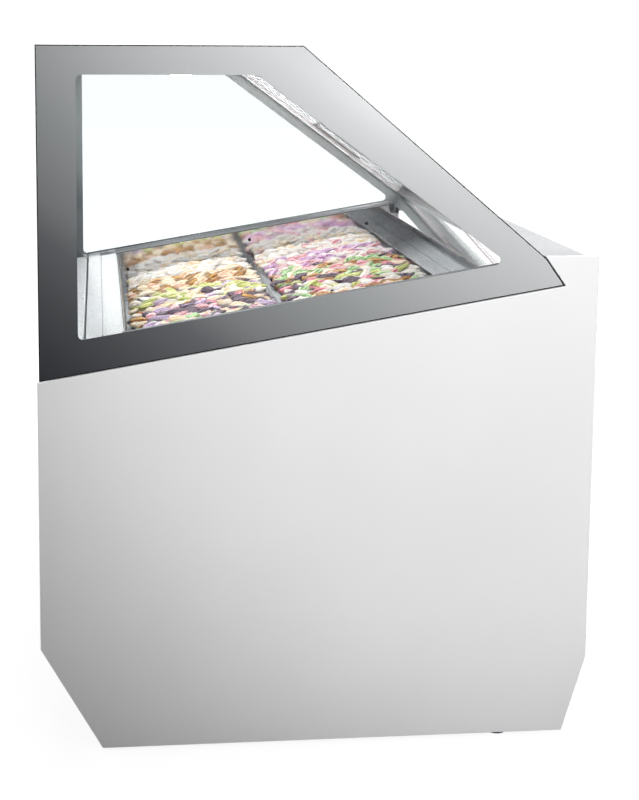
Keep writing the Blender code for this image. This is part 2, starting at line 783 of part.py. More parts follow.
def add_rear_grille(grey, dark):
    """Louvred sheet over the machine bay, with the way out for the drip tray and the hole of the cable gland."""
    bend = REAR_CHAMFER[1] + 0.0025
    slope = REAR_CHAMFER[0] / (REAR_CHAMFER[1] - PANEL_FOOT)
    foot = 0.020
    foot_face = REAR_FACE - (bend - foot) * slope
    thick = GRILLE_SHEET
    outline = [
        (REAR_FACE, GRILLE_TOP),
        (REAR_FACE - thick, GRILLE_TOP),
        (REAR_FACE - thick, bend),
        (foot_face - thick, foot),
        (foot_face, foot),
        (REAR_FACE, bend),
    ]
    grille = prism("rear_grille", outline, -INNER_HALF, INNER_HALF, grey)
    tray_door = block(
        "tray_door_cut",
        (TRAY_X[0] - 0.004, foot_face - 0.050, TRAY_Z[0] - 0.003),
        (TRAY_X[1] + 0.004, BACK + 0.010, TRAY_Z[1] + 0.004),
        grey,
    )
    combine(grille, tray_door, "DIFFERENCE")
    rows = 10
    pitch = 0.030
    for column in (-1, 1):
        for row in range(rows):
            low = 0.225 + pitch * row
            x = sorted((column * 0.030, column * 0.440))
            slot = block(
                f"louvre_{column}_{row}",
                (x[0], REAR_FACE - 0.020, low),
                (x[1], REAR_FACE + 0.010, low + 0.012),
                grey,
            )
            combine(grille, slot, "DIFFERENCE")
    gland_hole = turned("gland_hole", disc(0.0083, -0.02, 0.02), grey)
    to_rear = Matrix.Translation((GLAND_X, REAR_FACE, GLAND_Z)) @ Matrix.Rotation(-math.pi / 2, 4, "X")
    placed(gland_hole, to_rear)
    combine(grille, gland_hole, "DIFFERENCE")
    profile = [
        (0.0050, -0.012),
        (0.0078, -0.012),
        (0.0078, GAP),
        (0.0130, GAP),
        (0.0130, 0.006),
        (0.0110, 0.007),
        (0.0110, 0.014),
        (0.0080, 0.018),
        (0.0050, 0.018),
    ]
    placed(turned("cable_gland", profile, dark, ring=True), to_rear)


def add_drip_tray(material):
    """Open tray on the chassis floor that collects the melt water and pulls out to the rear."""
    wall = 0.002
    rear = BACK - 0.043
    front = rear - 0.320
    tray = block("drip_tray", (TRAY_X[0], front, TRAY_Z[0]), (TRAY_X[1], rear, TRAY_Z[1]), material)
    inside = block(
        "tray_cut",
        (TRAY_X[0] + wall, front + wall, TRAY_Z[0] + wall),
        (TRAY_X[1] - wall, rear - wall, TRAY_Z[1] + 0.010),
        material,
    )
    combine(tray, inside, "DIFFERENCE")


def add_machine_bay(black, coil_material, plastic, blade_material):
    """Compressor, condenser and condenser fan on the chassis floor."""
    floor = CHASSIS_FOOT + CHASSIS_SHEET + GAP
    dome = [
        (0, 0.002),
        (0.090, 0.002),
        (0.100, 0.016),
        (0.100, 0.098),
        (0.104, 0.102),
        (0.104, 0.110),
        (0.099, 0.114),
        (0.098, 0.165),
        (0.084, 0.192),
        (0.050, 0.208),
        (0, 0.213),
    ]
    center = Matrix.Translation((0.280, -0.060, floor))
    compressor = placed(turned("compressor", dome, black, 20), center)
    base = block("compressor_base", (-0.125, -0.095, 0), (0.125, 0.095, 0.006), black)
    combine(compressor, placed(base, center), "UNION")
    bm = bmesh.new()
    coil_rear = BACK - 0.045
    finned_mesh(
        bm,
        core=((coil_rear - 0.062, floor + 0.055), (coil_rear - 0.008, floor + 0.365)),
        fin=((coil_rear - 0.070, floor + 0.045), (coil_rear, floor + 0.375)),
        x_low=-0.450,
        x_high=-0.030,
        fins=13,
        sheet=0.004,
        end_low=floor,
    )
    add_object("condenser_coil", bm, coil_material)
    place = Matrix.Translation((-0.240, coil_rear - 0.070 - 0.003 - GAP, floor + 0.210))
    turn = Matrix.Rotation(-math.pi / 2, 4, "X")
    add_fan("condenser_fan", place @ turn, 0.125, (0.205, 0.160), 0.045, plastic, blade_material)


CONTROL_X = 0.330
CONTROL_Z = WORKTOP_HEIGHT - 0.090
SWITCHES = {"light_switch": -0.080, "power_switch": -0.045}
BUTTONS = {"set_button": 0.040, "defrost_button": 0.075}
ROCKER_X = 0.010
ROCKER_Z = 0.015
BUTTON_RADIUS = 0.006


def rocker(name, x, material):
    """A rocker that turns on a pin along X, 5 mm behind the housing's face."""
    half = ROCKER_Z - 0.001
    outline = [
        (0.0060, half),
        (0, half - 0.0005),
        (-0.0025, 0.006),
        (-0.0025, -0.006),
        (0, 0.0005 - half),
        (0.0060, -half),
        (0.0042, 0),
    ]
    body = prism(name, outline, -ROCKER_X + 0.0006, ROCKER_X - 0.0006, material)
    return placed(body, Matrix.Translation((x, COVER_FACE - 0.005, CONTROL_Z)))


def add_controls(grey, dark):
    """Control housing on the rear panel, with two rocker switches and two buttons set in pockets."""
    back = REAR_FACE + GAP
    half_x = 0.110
    half_z = 0.030
    housing = block(
        "control_housing",
        (CONTROL_X - half_x, back, CONTROL_Z - half_z),
        (CONTROL_X + half_x, COVER_FACE, CONTROL_Z + half_z),
        grey,
    )
    floor = COVER_FACE - 0.0100
    for name, offset in SWITCHES.items():
        x = CONTROL_X + offset
        pocket = block(
            f"{name}_pocket",
            (x - ROCKER_X, floor, CONTROL_Z - ROCKER_Z - 0.0008),
            (x + ROCKER_X, COVER_FACE + 0.01, CONTROL_Z + ROCKER_Z + 0.0008),
            grey,
        )
        combine(housing, pocket, "DIFFERENCE")
        rocker(name, x, dark)
    to_rear = Matrix.Rotation(-math.pi / 2, 4, "X")
    for name, offset in BUTTONS.items():
        place = Matrix.Translation((CONTROL_X + offset, COVER_FACE, CONTROL_Z)) @ to_rear
        pocket = turned(f"{name}_pocket", disc(BUTTON_RADIUS + 0.0005, -0.010, 0.01), grey)
        combine(housing, placed(pocket, place), "DIFFERENCE")
        cap = [
            (0, -0.007),
            (BUTTON_RADIUS, -0.007),
            (BUTTON_RADIUS, 0.0015),
            (BUTTON_RADIUS - 0.001, 0.002),
            (0, 0.002),
        ]
        placed(turned(name, cap, dark), place)


def build():
    clear_scene()
    white = principled("white powder coat", (0.86, 0.86, 0.87), 0.35)
    steel = principled("brushed stainless steel", (0.62, 0.62, 0.62), 0.28, 1.0)
    polished = principled("polished stainless steel", (0.70, 0.70, 0.70), 0.12, 1.0)
    clear = principled("tempered glass", (0.93, 0.96, 0.95), 0.02, 0.0, 0.9)
    acrylic = principled("clear acrylic", (0.95, 0.96, 0.96), 0.03, 0.0, 0.9)
    dark_glass = principled("grey enamelled glass", (0.05, 0.05, 0.055), 0.08)
    alloy = principled("anodised aluminium", (0.55, 0.56, 0.57), 0.35, 1.0)
    zinc = principled("galvanised steel", (0.48, 0.50, 0.52), 0.45, 1.0)
    foam = principled("foam-backed sheet", (0.75, 0.75, 0.76), 0.55)
    black = principled("black enamel", (0.02, 0.02, 0.022), 0.40)
    plastic = principled("black moulded plastic", (0.03, 0.03, 0.03), 0.50)
    grey = principled("grey moulded plastic", (0.30, 0.31, 0.32), 0.45)
    lens = principled("opal diffuser", (0.95, 0.95, 0.95), 0.40)
    add_feet(plastic)
    add_chassis(zinc)
    add_tank(foam)
    add_liner(polished)
    add_pans(polished)
    add_pan_rails(steel)
    add_evaporator(alloy, plastic, grey)
    add_well_trim(white, polished)
    add_glass(clear, dark_glass)
    add_canopy(white, lens)
    add_door_tracks(alloy)
    add_doors(acrylic, alloy)
    add_side_panels(white)
    add_body_panels(white, dark_glass, steel)
    add_rear_grille(grey, plastic)
    add_drip_tray(grey)
    add_machine_bay(black, alloy, plastic, grey)
    add_controls(grey, plastic)


build()
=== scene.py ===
import json
import math
import random

import bmesh
import bpy
from mathutils import Matrix, Vector, noise

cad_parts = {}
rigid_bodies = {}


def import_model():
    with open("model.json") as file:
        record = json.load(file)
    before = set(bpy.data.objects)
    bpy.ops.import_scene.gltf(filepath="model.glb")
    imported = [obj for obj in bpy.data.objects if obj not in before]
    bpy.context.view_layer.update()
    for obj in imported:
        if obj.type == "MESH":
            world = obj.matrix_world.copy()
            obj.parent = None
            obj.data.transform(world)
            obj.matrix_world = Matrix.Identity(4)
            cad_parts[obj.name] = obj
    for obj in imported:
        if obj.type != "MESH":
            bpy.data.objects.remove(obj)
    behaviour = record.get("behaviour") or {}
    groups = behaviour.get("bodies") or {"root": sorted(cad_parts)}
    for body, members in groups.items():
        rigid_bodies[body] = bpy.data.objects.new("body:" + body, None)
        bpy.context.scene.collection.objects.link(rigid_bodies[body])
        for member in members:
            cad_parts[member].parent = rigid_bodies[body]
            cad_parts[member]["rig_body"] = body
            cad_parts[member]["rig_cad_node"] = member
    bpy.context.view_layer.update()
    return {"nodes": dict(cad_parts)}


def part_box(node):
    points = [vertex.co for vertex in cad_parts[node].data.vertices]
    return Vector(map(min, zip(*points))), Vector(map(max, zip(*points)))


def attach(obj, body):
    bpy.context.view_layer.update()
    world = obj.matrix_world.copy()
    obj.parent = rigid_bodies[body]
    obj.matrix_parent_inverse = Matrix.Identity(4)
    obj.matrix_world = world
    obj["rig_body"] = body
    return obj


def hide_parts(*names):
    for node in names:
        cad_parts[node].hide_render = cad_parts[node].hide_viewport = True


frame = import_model()

# --- Levelling feet ---------------------------------------------------------------------------------------
# Four black nylon feet. Each is a moulded disc pressed on a plated threaded stem, with a hexagon nut
# that locks it under the steel floor.


def only(obj):
    """Deselects everything else, so that operators act on this piece alone."""
    bpy.ops.object.select_all(action="DESELECT")
    obj.select_set(True)
    bpy.context.view_layer.objects.active = obj
    return obj


def pick(kind, test):
    """In edit mode, selects only the faces, edges or verts that pass the test."""
    modes = {"faces": "FACE", "edges": "EDGE", "verts": "VERT"}
    bpy.ops.mesh.select_mode(type=modes[kind])
    bpy.ops.mesh.select_all(action="DESELECT")
    shape = bmesh.from_edit_mesh(bpy.context.object.data)
    for item in getattr(shape, kind):
        item.select_set(test(item))
    shape.select_flush_mode()
    bmesh.update_edit_mesh(bpy.context.object.data)


def drawn_up(start, steps):
    """Draws the selected round face up through (radius, height) steps, starting from its own."""
    radius, height = start
    for next_radius, next_height in steps:
        move = {"value": (0, 0, next_height - height)}
        bpy.ops.mesh.extrude_region_move(TRANSFORM_OT_translate=move)
        share = next_radius / radius
        bpy.ops.transform.resize(value=(share, share, 1), center_override=(0, 0, next_height))
        radius, height = next_radius, next_height


def lathed(name, start, steps, sides=32, base=0.0):
    """A round piece about Z: a flat disc of the first radius, drawn up through the steps."""
    bpy.ops.object.select_all(action="DESELECT")
    bpy.ops.mesh.primitive_cylinder_add(
        vertices=sides, radius=start[0], depth=start[1] - base, location=(0, 0, (start[1] + base) / 2)
    )
    piece = bpy.context.object
    piece.name = name
    bpy.ops.object.transform_apply()
    bpy.ops.object.mode_set(mode="EDIT")
    pick("faces", lambda face: face.normal.z > 0.9)
    drawn_up(start, steps)
    bpy.ops.object.mode_set(mode="OBJECT")
    return piece


def modified(obj, kind, **settings):
    """Adds a modifier and applies it."""
    only(obj)
    change = obj.modifiers.new(kind.lower(), kind)
    for key, value in settings.items():
        setattr(change, key, value)
    bpy.ops.object.modifier_apply(modifier=change.name)
    return obj


def soften(obj, width, segments=2, angle=30):
    """Rounds the sharp edges. The shading follows the large faces, so flats stay flat to the eye."""
    only(obj)
    bpy.ops.object.shade_smooth()
    sharp = math.radians(angle)
    modified(obj, "BEVEL", width=width, segments=segments, limit_method="ANGLE", angle_limit=sharp)
    return modified(obj, "WEIGHTED_NORMAL", weight=100)


def moved(obj, matrix):
    """Applies a place to the mesh, so that the object stays at the origin."""
    obj.data.transform(matrix)
    obj.data.update()
    return obj


def copied(obj, name, matrix):
    twin = obj.copy()
    twin.data = obj.data.copy()
    twin.name = name
    bpy.context.scene.collection.objects.link(twin)
    return moved(twin, matrix)


def joined(name, pieces):
    bpy.ops.object.select_all(action="DESELECT")
    for piece in pieces:
        piece.select_set(True)
    bpy.context.view_layer.objects.active = pieces[0]
    bpy.ops.object.join()
    pieces[0].name = name
    return pieces[0]


def painted(obj, material):
    obj.data.materials.clear()
    obj.data.materials.append(material)
    return obj


def linear(hex_colour):
    """An sRGB hex colour as linear RGBA."""
    parts = [int(hex_colour[i : i + 2], 16) / 255 for i in (0, 2, 4)]
    return (*(p / 12.92 if p <= 0.04045 else ((p + 0.055) / 1.055) ** 2.4 for p in parts), 1.0)


def add_node(tree, kind, settings, inputs):
    """Adds a shader node. An input is a number or colour, or another node's output to link in."""
    made = tree.nodes.new("ShaderNode" + kind)
    for key, value in settings.items():
        setattr(made, key, value)
    for key, value in inputs.items():
        if isinstance(value, bpy.types.NodeSocket):
            tree.links.new(value, made.inputs[key])
        else:
            made.inputs[key].default_value = value
    return made


def finish(name, tones, patch, gloss, grain, depth, stretch=(1, 1, 1), metallic=0.0, coat=0.0):
    """A surface whose tone and roughness wander between two values over patches of one size, under a
    grain of its own size and depth. Sizes are in metres, and stretch draws the grain out along an axis."""
    material = bpy.data.materials.new(name)
    material.use_nodes = True
    tree = material.node_tree
    shader = tree.nodes["Principled BSDF"]
    shader.inputs["Metallic"].default_value = metallic
    shader.inputs["Coat Weight"].default_value = coat
    place = add_node(tree, "TexCoord", {}, {}).outputs["Object"]
    drawn = add_node(tree, "Mapping", {}, {"Vector": place, "Scale": stretch}).outputs["Vector"]
    cloud = add_node(tree, "TexNoise", {}, {"Vector": place, "Scale": 1 / patch, "Detail": 3.0})
    fine = add_node(tree, "TexNoise", {}, {"Vector": drawn, "Scale": 1 / grain, "Detail": 2.0})
    spread = add_node(
        tree, "MapRange", {}, {"Value": cloud.outputs["Fac"], "From Min": 0.32, "From Max": 0.68}
    ).outputs["Result"]
    colours = {"Fac": spread, "Color1": linear(tones[0]), "Color2": linear(tones[1])}
    tone = add_node(tree, "MixRGB", {}, colours).outputs["Color"]
    limits = {"To Min": gloss[0], "To Max": gloss[1], "From Min": 0.3, "From Max": 0.7}
    rough = add_node(tree, "MapRange", {}, {"Value": fine.outputs["Fac"], **limits}).outputs["Result"]
    bump = add_node(tree, "Bump", {}, {"Height": fine.outputs["Fac"], "Distance": depth, "Strength": 1.0})
    tree.links.new(tone, shader.inputs["Base Color"])
    tree.links.new(rough, shader.inputs["Roughness"])
    tree.links.new(bump.outputs["Normal"], shader.inputs["Normal"])
    return material


# Black nylon 6, injection moulded: nearly black and satin, with the mould's fine spark texture.
black_nylon = finish("moulded black nylon", ("1d1e20", "26272a"), 0.03, (0.42, 0.58), 0.0009, 0.00004)
# Zinc-plated steel, turned: a bright cool grey, a little dull along the thread.
zinc_plate = finish(
    "zinc plated steel", ("b9bdc0", "cfd2d4"), 0.01, (0.22, 0.36), 0.0006, 0.00002, metallic=1.0
)

FOOT_RADIUS = 0.0198
foot_disc = [(FOOT_RADIUS, 0.004), (0.0165, 0.0062), (0.0135, 0.0068), (0.0115, 0.0125), (0.0085, 0.0135)]
thread = [(radius, 0.0145 + 0.0009 * i) for i, radius in enumerate([0.0058, 0.0050] * 16)]
foot = painted(lathed("foot", (0.0192, 0.0006), foot_disc, 40), black_nylon)
stem = painted(lathed("stem", (0.0058, 0.0140), thread, 20, base=0.0100), zinc_plate)
nut = painted(lathed("nut", (0.0100, 0.0405), [], 6, base=0.0345), zinc_plate)
soften(foot, 0.0005)
soften(nut, 0.0007)
one_foot = joined("one_foot", [foot, stem, nut])
for corner in ("front_left", "front_right", "rear_left", "rear_right"):
    low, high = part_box("foot_" + corner)
    middle = (low + high) / 2
    piece = copied(one_foot, "level_foot_" + corner, Matrix.Translation((middle.x, middle.y, 0)))
    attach(piece, "cabinet")
    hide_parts("foot_" + corner)
bpy.data.objects.remove(one_foot)

# --- Steel floor and tank ---------------------------------------------------------------------------------
# The folded floor carries the foamed tank on two end sheets. The floor is hot-dip galvanised sheet, and the
# tank is foam between pale coated skins. Both are hidden once the panels are on.


def flat_copy(node, name):
    """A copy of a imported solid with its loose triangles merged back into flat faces."""
    twin = frame["nodes"][node].copy()
    twin.data = twin.data.copy()
    twin.name = name
    twin.parent = None
    twin.hide_render = twin.hide_viewport = False
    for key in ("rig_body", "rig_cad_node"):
        del twin[key]
    bpy.context.scene.collection.objects.link(twin)
    only(twin)
    bpy.ops.object.mode_set(mode="EDIT")
    bpy.ops.mesh.select_all(action="SELECT")
    bpy.ops.mesh.remove_doubles(threshold=0.00001)
    bpy.ops.mesh.dissolve_limited(angle_limit=math.radians(1))
    bpy.ops.object.mode_set(mode="OBJECT")
    return twin


def seated(piece, node, body="cabinet"):
    """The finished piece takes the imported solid's place and moves with its body."""
    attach(piece, body)
    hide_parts(node)
    return piece


def edged(node, name, material, width, segments=2, body="cabinet"):
    """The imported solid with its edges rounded, in its real finish."""
    piece = soften(flat_copy(node, name), width, segments)
    return seated(painted(piece, material), node, body)


# Hot-dip galvanised steel: crystals of zinc about 12 mm across, each a slightly different grey.
galvanised = finish(
    "hot dip galvanised steel", ("8f9598", "b3b8ba"), 0.012, (0.34, 0.5), 0.004, 0.00003, metallic=1.0
)
# Foamed tank skin, polyester coated coil steel: off-white and slightly pebbled from the foam behind it.
tank_skin = finish("coated foam panel skin", ("d9dadb", "e3e4e4"), 0.08, (0.45, 0.6), 0.012, 0.0002)
edged("chassis", "folded_floor", galvanised, 0.0006)
edged("tank_shell", "foamed_tank", tank_skin, 0.0004)

# --- Well liner -------------------------------------------------------------------------------------------
# A tub of bright-rolled stainless steel, folded and seam welded, that lines the cold well. Its end walls
# show a blurred image of the pans. Small black screws hold the light and coil covers to it.

DECK_ANGLE = math.radians(9.74)
DECK_FOOT = Vector((0, -0.5335, 0.7259))


def deck(along, up):
    """World Y and Z of a point along the sloping deck and up from it."""
    cos, sin = math.cos(DECK_ANGLE), math.sin(DECK_ANGLE)
    return DECK_FOOT.y + along * cos - up * sin, DECK_FOOT.z + along * sin + up * cos


def deck_place(x, along, up):
    """Local axes square to the deck, at a point on it."""
    return Matrix.Translation((x, *deck(along, up))) @ Matrix.Rotation(DECK_ANGLE, 4, "X")


# Bright-annealed stainless steel: a near mirror, a little soft, with faint rolling marks.
bright_steel = finish(
    "bright annealed stainless steel", ("e4e5e7", "edeeef"), 0.15, (0.05, 0.10), 0.003, 0.000002,
    stretch=(0.1, 1, 1), metallic=1.0,
)
edged("tank_liner", "well_tub", bright_steel, 0.0005)


def screw(name, material):
    """A pan-head screw with a round socket, looking along +Z."""
    head = lathed(name, (0.0042, 0.0003), [(0.0042, 0.0011), (0.0034, 0.0019), (0.0018, 0.0021)], 20)
    only(head)
    bpy.ops.object.mode_set(mode="EDIT")
    pick("faces", lambda face: face.normal.z > 0.9 and face.calc_center_median().z > 0.002)
    bpy.ops.mesh.extrude_region_move(TRANSFORM_OT_translate={"value": (0, 0, -0.0012)})
    bpy.ops.object.mode_set(mode="OBJECT")
    only(head)
    bpy.ops.object.shade_smooth_by_angle(angle=math.radians(40))
    return painted(head, material)


# Black-oxide steel screws: dark and satin.
black_oxide = finish(
    "black oxide steel", ("2a2b2c", "3a3b3c"), 0.004, (0.3, 0.45), 0.0008, 0.00002, metallic=0.8
)
WELL_INSIDE = 0.5305
WALL_SCREWS = ((0.196, 0.010), (0.520, 0.030), (0.830, 0.018))  # along the deck, and up from it
wall_screw = screw("wall_screw", black_oxide)
wall_screws = []
for side in (-1, 1):
    turn = Matrix.Rotation(-side * math.pi / 2, 4, "Y")
    for along, up in WALL_SCREWS:
        y, z = deck(along, up)
        spot = Matrix.Translation((side * WELL_INSIDE, y, z)) @ turn
        wall_screws.append(copied(wall_screw, "wall_screw", spot))
bpy.data.objects.remove(wall_screw)
liner_screws = joined("liner_screws", wall_screws)
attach(liner_screws, "cabinet")

# --- Pan rails and air outlet -----------------------------------------------------------------------------
# Three folded rails cross the well and carry the pans by their flanges. On the customer's side a steel strip
# with a row of round outlets blows cold air over the pans. All are brushed stainless steel.

# Brushed stainless, grit 180: fine lines drawn along X, about 0.3 mm apart, coarser here so that they show.
brushed_steel = finish(
    "brushed stainless steel", ("8f9194", "a0a2a5"), 0.2, (0.24, 0.36), 0.0009, 0.00002,
    stretch=(0.02, 1, 1), metallic=1.0,
)
for place in ("front", "center", "rear"):
    edged("pan_rail_" + place, "rail_" + place, brushed_steel, 0.0004)


def block(name, size):
    """A square-edged block of a size about the origin, to be shaped further."""
    bpy.ops.object.select_all(action="DESELECT")
    bpy.ops.mesh.primitive_cube_add(size=1)
    piece = bpy.context.object
    piece.name = name
    return moved(piece, Matrix.Diagonal((*size, 1)))


OUTLETS = 12
OUTLET_RADIUS, OUTLET_WIDER = 0.0125, 1.5
OUTLET_ALONG = (0.1746, 0.1758)
OUTLET_UP = (-0.012, 0.046)
SHADE_SHEET_THICK = 0.0006
strip_size = (2 * WELL_INSIDE - 0.004, OUTLET_ALONG[1] - OUTLET_ALONG[0], OUTLET_UP[1] - OUTLET_UP[0])
strip = block("air_outlet_strip", strip_size)
to_wide = Matrix.Rotation(math.pi / 2, 4, "X") @ Matrix.Diagonal((OUTLET_WIDER, 1, 1, 1))
outlet_cutters = []
for i in range(OUTLETS):
    x = strip_size[0] * ((i + 0.5) / OUTLETS - 0.5)
    bpy.ops.object.select_all(action="DESELECT")
    bpy.ops.mesh.primitive_cylinder_add(vertices=24, radius=OUTLET_RADIUS, depth=0.02)
    outlet_cutters.append(moved(bpy.context.object, Matrix.Translation((x, 0, 0)) @ to_wide))
outlet_holes = joined("outlet_holes", outlet_cutters)
modified(strip, "BOOLEAN", operation="DIFFERENCE", solver="EXACT", object=outlet_holes)
bpy.data.objects.remove(outlet_holes)
soften(strip, 0.0003, 1, 60)
moved(strip, deck_place(0, sum(OUTLET_ALONG) / 2, sum(OUTLET_UP) / 2))
painted(strip, brushed_steel)
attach(strip, "cabinet")

# A black sheet close behind the strip is painted shade: it stands for the dark inside of the duct, seen
# through the outlets.
duct_shade = block("air_outlet_shade_sheet", (strip_size[0], SHADE_SHEET_THICK, strip_size[2] - 0.004))
soften(duct_shade, 0.0002, 1)
moved(duct_shade, deck_place(0, OUTLET_ALONG[0] - SHADE_SHEET_THICK, sum(OUTLET_UP) / 2))
painted(duct_shade, black_nylon)
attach(duct_shade, "cabinet")

# --- Cold coil and fans -----------------------------------------------------------------------------------
# A finned coil and a small fan lie on the floor of the tub. The warm coil, its fan and the compressor stand
# in the bay behind the grille. Fins are mill aluminium, fans moulded plastic, the compressor black enamel.

# Mill-finish aluminium fins: soft grey, with the fine vertical lines of the rolled strip.
fin_stock = finish(
    "mill finish aluminium fins", ("a9adb0", "c2c5c7"), 0.05, (0.32, 0.46), 0.001, 0.00003,
    stretch=(1, 1, 0.1), metallic=1.0,
)
# Grey ABS, injection moulded: mid grey, satin, with a light spark texture.
grey_abs = finish("moulded grey ABS", ("6f7275", "787b7e"), 0.05, (0.40, 0.52), 0.001, 0.00004)
# Compressor can, pressed steel in stove enamel: glossy black with orange peel about 3 mm across.
stove_enamel = finish("black stove enamel", ("121314", "191a1c"), 0.08, (0.18, 0.3), 0.003, 0.00006)
edged("evaporator_coil", "cold_coil", fin_stock, 0.0003, 1)
edged("condenser_coil", "warm_coil", fin_stock, 0.0003, 1)
edged("evaporator_fan_shroud", "cold_fan_frame", black_nylon, 0.0003, 1)
edged("condenser_fan_shroud", "warm_fan_frame", black_nylon, 0.0004, 1)
edged("evaporator_fan_rotor", "cold_fan_blades", grey_abs, 0.0003, 1, "evaporator_rotor")
edged("condenser_fan_rotor", "warm_fan_blades", grey_abs, 0.0005, 1, "condenser_rotor")
compressor = flat_copy("compressor", "compressor_can")
soften(compressor, 0.002, 3, 20)
seated(painted(compressor, stove_enamel), "compressor")

# --- Pans -------------------------------------------------------------------------------------------------
# Twelve deep-drawn stainless pans, 325 by 176 mm and 120 deep, hang by their flanges in two rows. The sheet
# is 1 mm, the corners are round and the mouth turns out into a flat flange.

PAN_MOUTH = (0.1552, 0.3042)
PAN_FLANGE_OUT = (0.1750, 0.3240)
PAN_CORNER = 0.021
PAN_DEPTH = 0.1185
PAN_TAPER = 0.008
PAN_FOOT_RADIUS = 0.012
PAN_SHEET = 0.001
PAN_UP = -0.0204
PAN_PITCH = 0.176
PAN_ROWS = {"front": 0.3445, "rear": 0.6807}
bpy.ops.object.select_all(action="DESELECT")
bpy.ops.mesh.primitive_plane_add(size=1)
pan = bpy.context.object
bpy.ops.object.mode_set(mode="EDIT")
bpy.ops.mesh.select_all(action="SELECT")
bpy.ops.transform.resize(value=(*PAN_MOUTH, 1))
bpy.ops.mesh.bevel(offset=PAN_CORNER, segments=7, affect="VERTICES")
bpy.ops.mesh.extrude_region_move(TRANSFORM_OT_translate={"value": (0, 0, -PAN_DEPTH)})
narrow = [1 - 2 * PAN_TAPER / side for side in PAN_MOUTH]
bpy.ops.transform.resize(value=(*narrow, 1), center_override=(0, 0, -PAN_DEPTH))
pick("edges", lambda edge: all(v.co.z < -PAN_DEPTH + 0.001 for v in edge.verts))
bpy.ops.mesh.bevel(offset=PAN_FOOT_RADIUS, segments=4)
pick("edges", lambda edge: edge.is_boundary)
bpy.ops.mesh.bevel(offset=0.0, segments=1)
pick("edges", lambda edge: edge.is_boundary)
bpy.ops.mesh.extrude_region_move(TRANSFORM_OT_translate={"value": (0, 0, 0)})
outwards = [flange / mouth for flange, mouth in zip(PAN_FLANGE_OUT, PAN_MOUTH)]
bpy.ops.transform.resize(value=(*outwards, 1), center_override=(0, 0, 0))
bpy.ops.object.mode_set(mode="OBJECT")
modified(pan, "SOLIDIFY", thickness=PAN_SHEET, offset=-1.0)
soften(pan, 0.0004, 2, 60)
painted(pan, bright_steel)
for row, along in PAN_ROWS.items():
    for column in range(1, 7):
        spot = deck_place((column - 3.5) * PAN_PITCH, along, PAN_UP)
        piece = copied(pan, f"drawn_pan_{row}_{column}", spot)
        seated(piece, f"pan_{row}_{column}", f"pan_{row}_{column}")
bpy.data.objects.remove(pan)

# --- Ice cream --------------------------------------------------------------------------------------------
# Each pan is heaped with one flavour mix, spooned on in flat curls 40 to 60 mm long. The spatula leaves them
# ridged, with a few curls of fruit, caramel or chocolate. They are pale on the ridges and darker in the
# grooves, partly the flavour's deeper colour and partly painted shade.

CREAM, PEACH, BLUSH = ("fffcf4", "eed3a6"), ("fff1e2", "e8ac78"), ("fdeeee", "e08c9c")
ROSE, LIME, MINT = ("fbcdd6", "d23a66"), ("f7f8c0", "aab414"), ("ecf8dc", "84bc58")
PLUM, MAUVE, CARAMEL = ("8c7088", "38253a"), ("f3e8f5", "a880b0"), ("eabb62", "7e450a")
LILAC, MILK = ("f8e4f5", "c47cc0"), ("ffffff", "eee2d6")
FLAVOURS = {
    # The curls that make up each heap: pairs of ridge and groove colour, and how many of each. The darker
    # groove colour is partly painted shade.
    "front_6": ((CREAM, 5), (MAUVE, 4), (MINT, 3), (BLUSH, 2), (ROSE, 2), (CARAMEL, 1), (PLUM, 2)),
    "front_5": ((CREAM, 4), (ROSE, 3), (MINT, 4), (PLUM, 2), (MAUVE, 2)),
    "front_4": ((CREAM, 4), (MAUVE, 4), (PLUM, 6), (BLUSH, 2), (CARAMEL, 2), (ROSE, 1)),
    "front_3": ((CREAM, 4), (LIME, 4), (MILK, 2), (MAUVE, 1), (PLUM, 2)),
    "front_2": ((CREAM, 4), (CARAMEL, 4), (PEACH, 3)),
    "front_1": ((MILK, 5), (CREAM, 3)),
    "rear_6": ((MILK, 3), (BLUSH, 3), (LIME, 3), (MINT, 2), (ROSE, 1), (PLUM, 1)),
    "rear_5": ((CREAM, 4), (MILK, 2), (PEACH, 1), (CARAMEL, 3), (ROSE, 2), (MINT, 2), (PLUM, 2)),
    "rear_4": ((MILK, 4), (ROSE, 3), (LIME, 3), (MINT, 1), (PLUM, 3), (CARAMEL, 1)),
    "rear_3": ((CREAM, 4), (MINT, 3), (BLUSH, 2), (CARAMEL, 3), (ROSE, 1), (PLUM, 1)),
    "rear_2": ((LILAC, 4), (MILK, 3), (BLUSH, 2)),
    "rear_1": ((MILK, 5), (CREAM, 2), (BLUSH, 1)),
}
HEAP_HALF = (0.0770, 0.1515)
HEAP_EDGE, HEAP_CROWN = -0.012, 0.026
HEAP_LUMP, LUMPS_PER_METRE = 0.005, 14
HEAP_DEEP = 0.080
CURL_ROWS, CURLS_ACROSS = 12, 6
CURL_SEGMENTS, CURL_RINGS = 12, 6
CURL_LENGTH, CURL_GIRTH = (0.019, 0.031), (0.0085, 0.0125)  # half of each, as the thickness is
CURL_THICK = (0.0032, 0.0070, 0.0085, 0.0095)
CURL_STRAY = 0.005
CURL_FROM_WALL = 0.013
LAYER_RISE = 0.004
CHURN_STREAK, ICE_CRYSTAL = 0.005, 0.0008

# Ice cream, churned and frozen: creamy ridges about 8 mm apart with deeper colour in the narrow grooves
# between, darkened further there as painted shade, streaked by the churn, grainy with ice and wet where it
# starts to melt.
ice_cream = bpy.data.materials.new("churned ice cream")
ice_cream.use_nodes = True
tree = ice_cream.node_tree
shader = tree.nodes["Principled BSDF"]
shader.inputs["Subsurface Weight"].default_value = 0.10
shader.inputs["Subsurface Radius"].default_value = (0.006, 0.004, 0.003)
shader.inputs["Subsurface Scale"].default_value = 0.4
flavour = add_node(tree, "Attribute", {"attribute_name": "flavour"}, {}).outputs["Color"]
place = add_node(tree, "TexCoord", {}, {}).outputs["Object"]
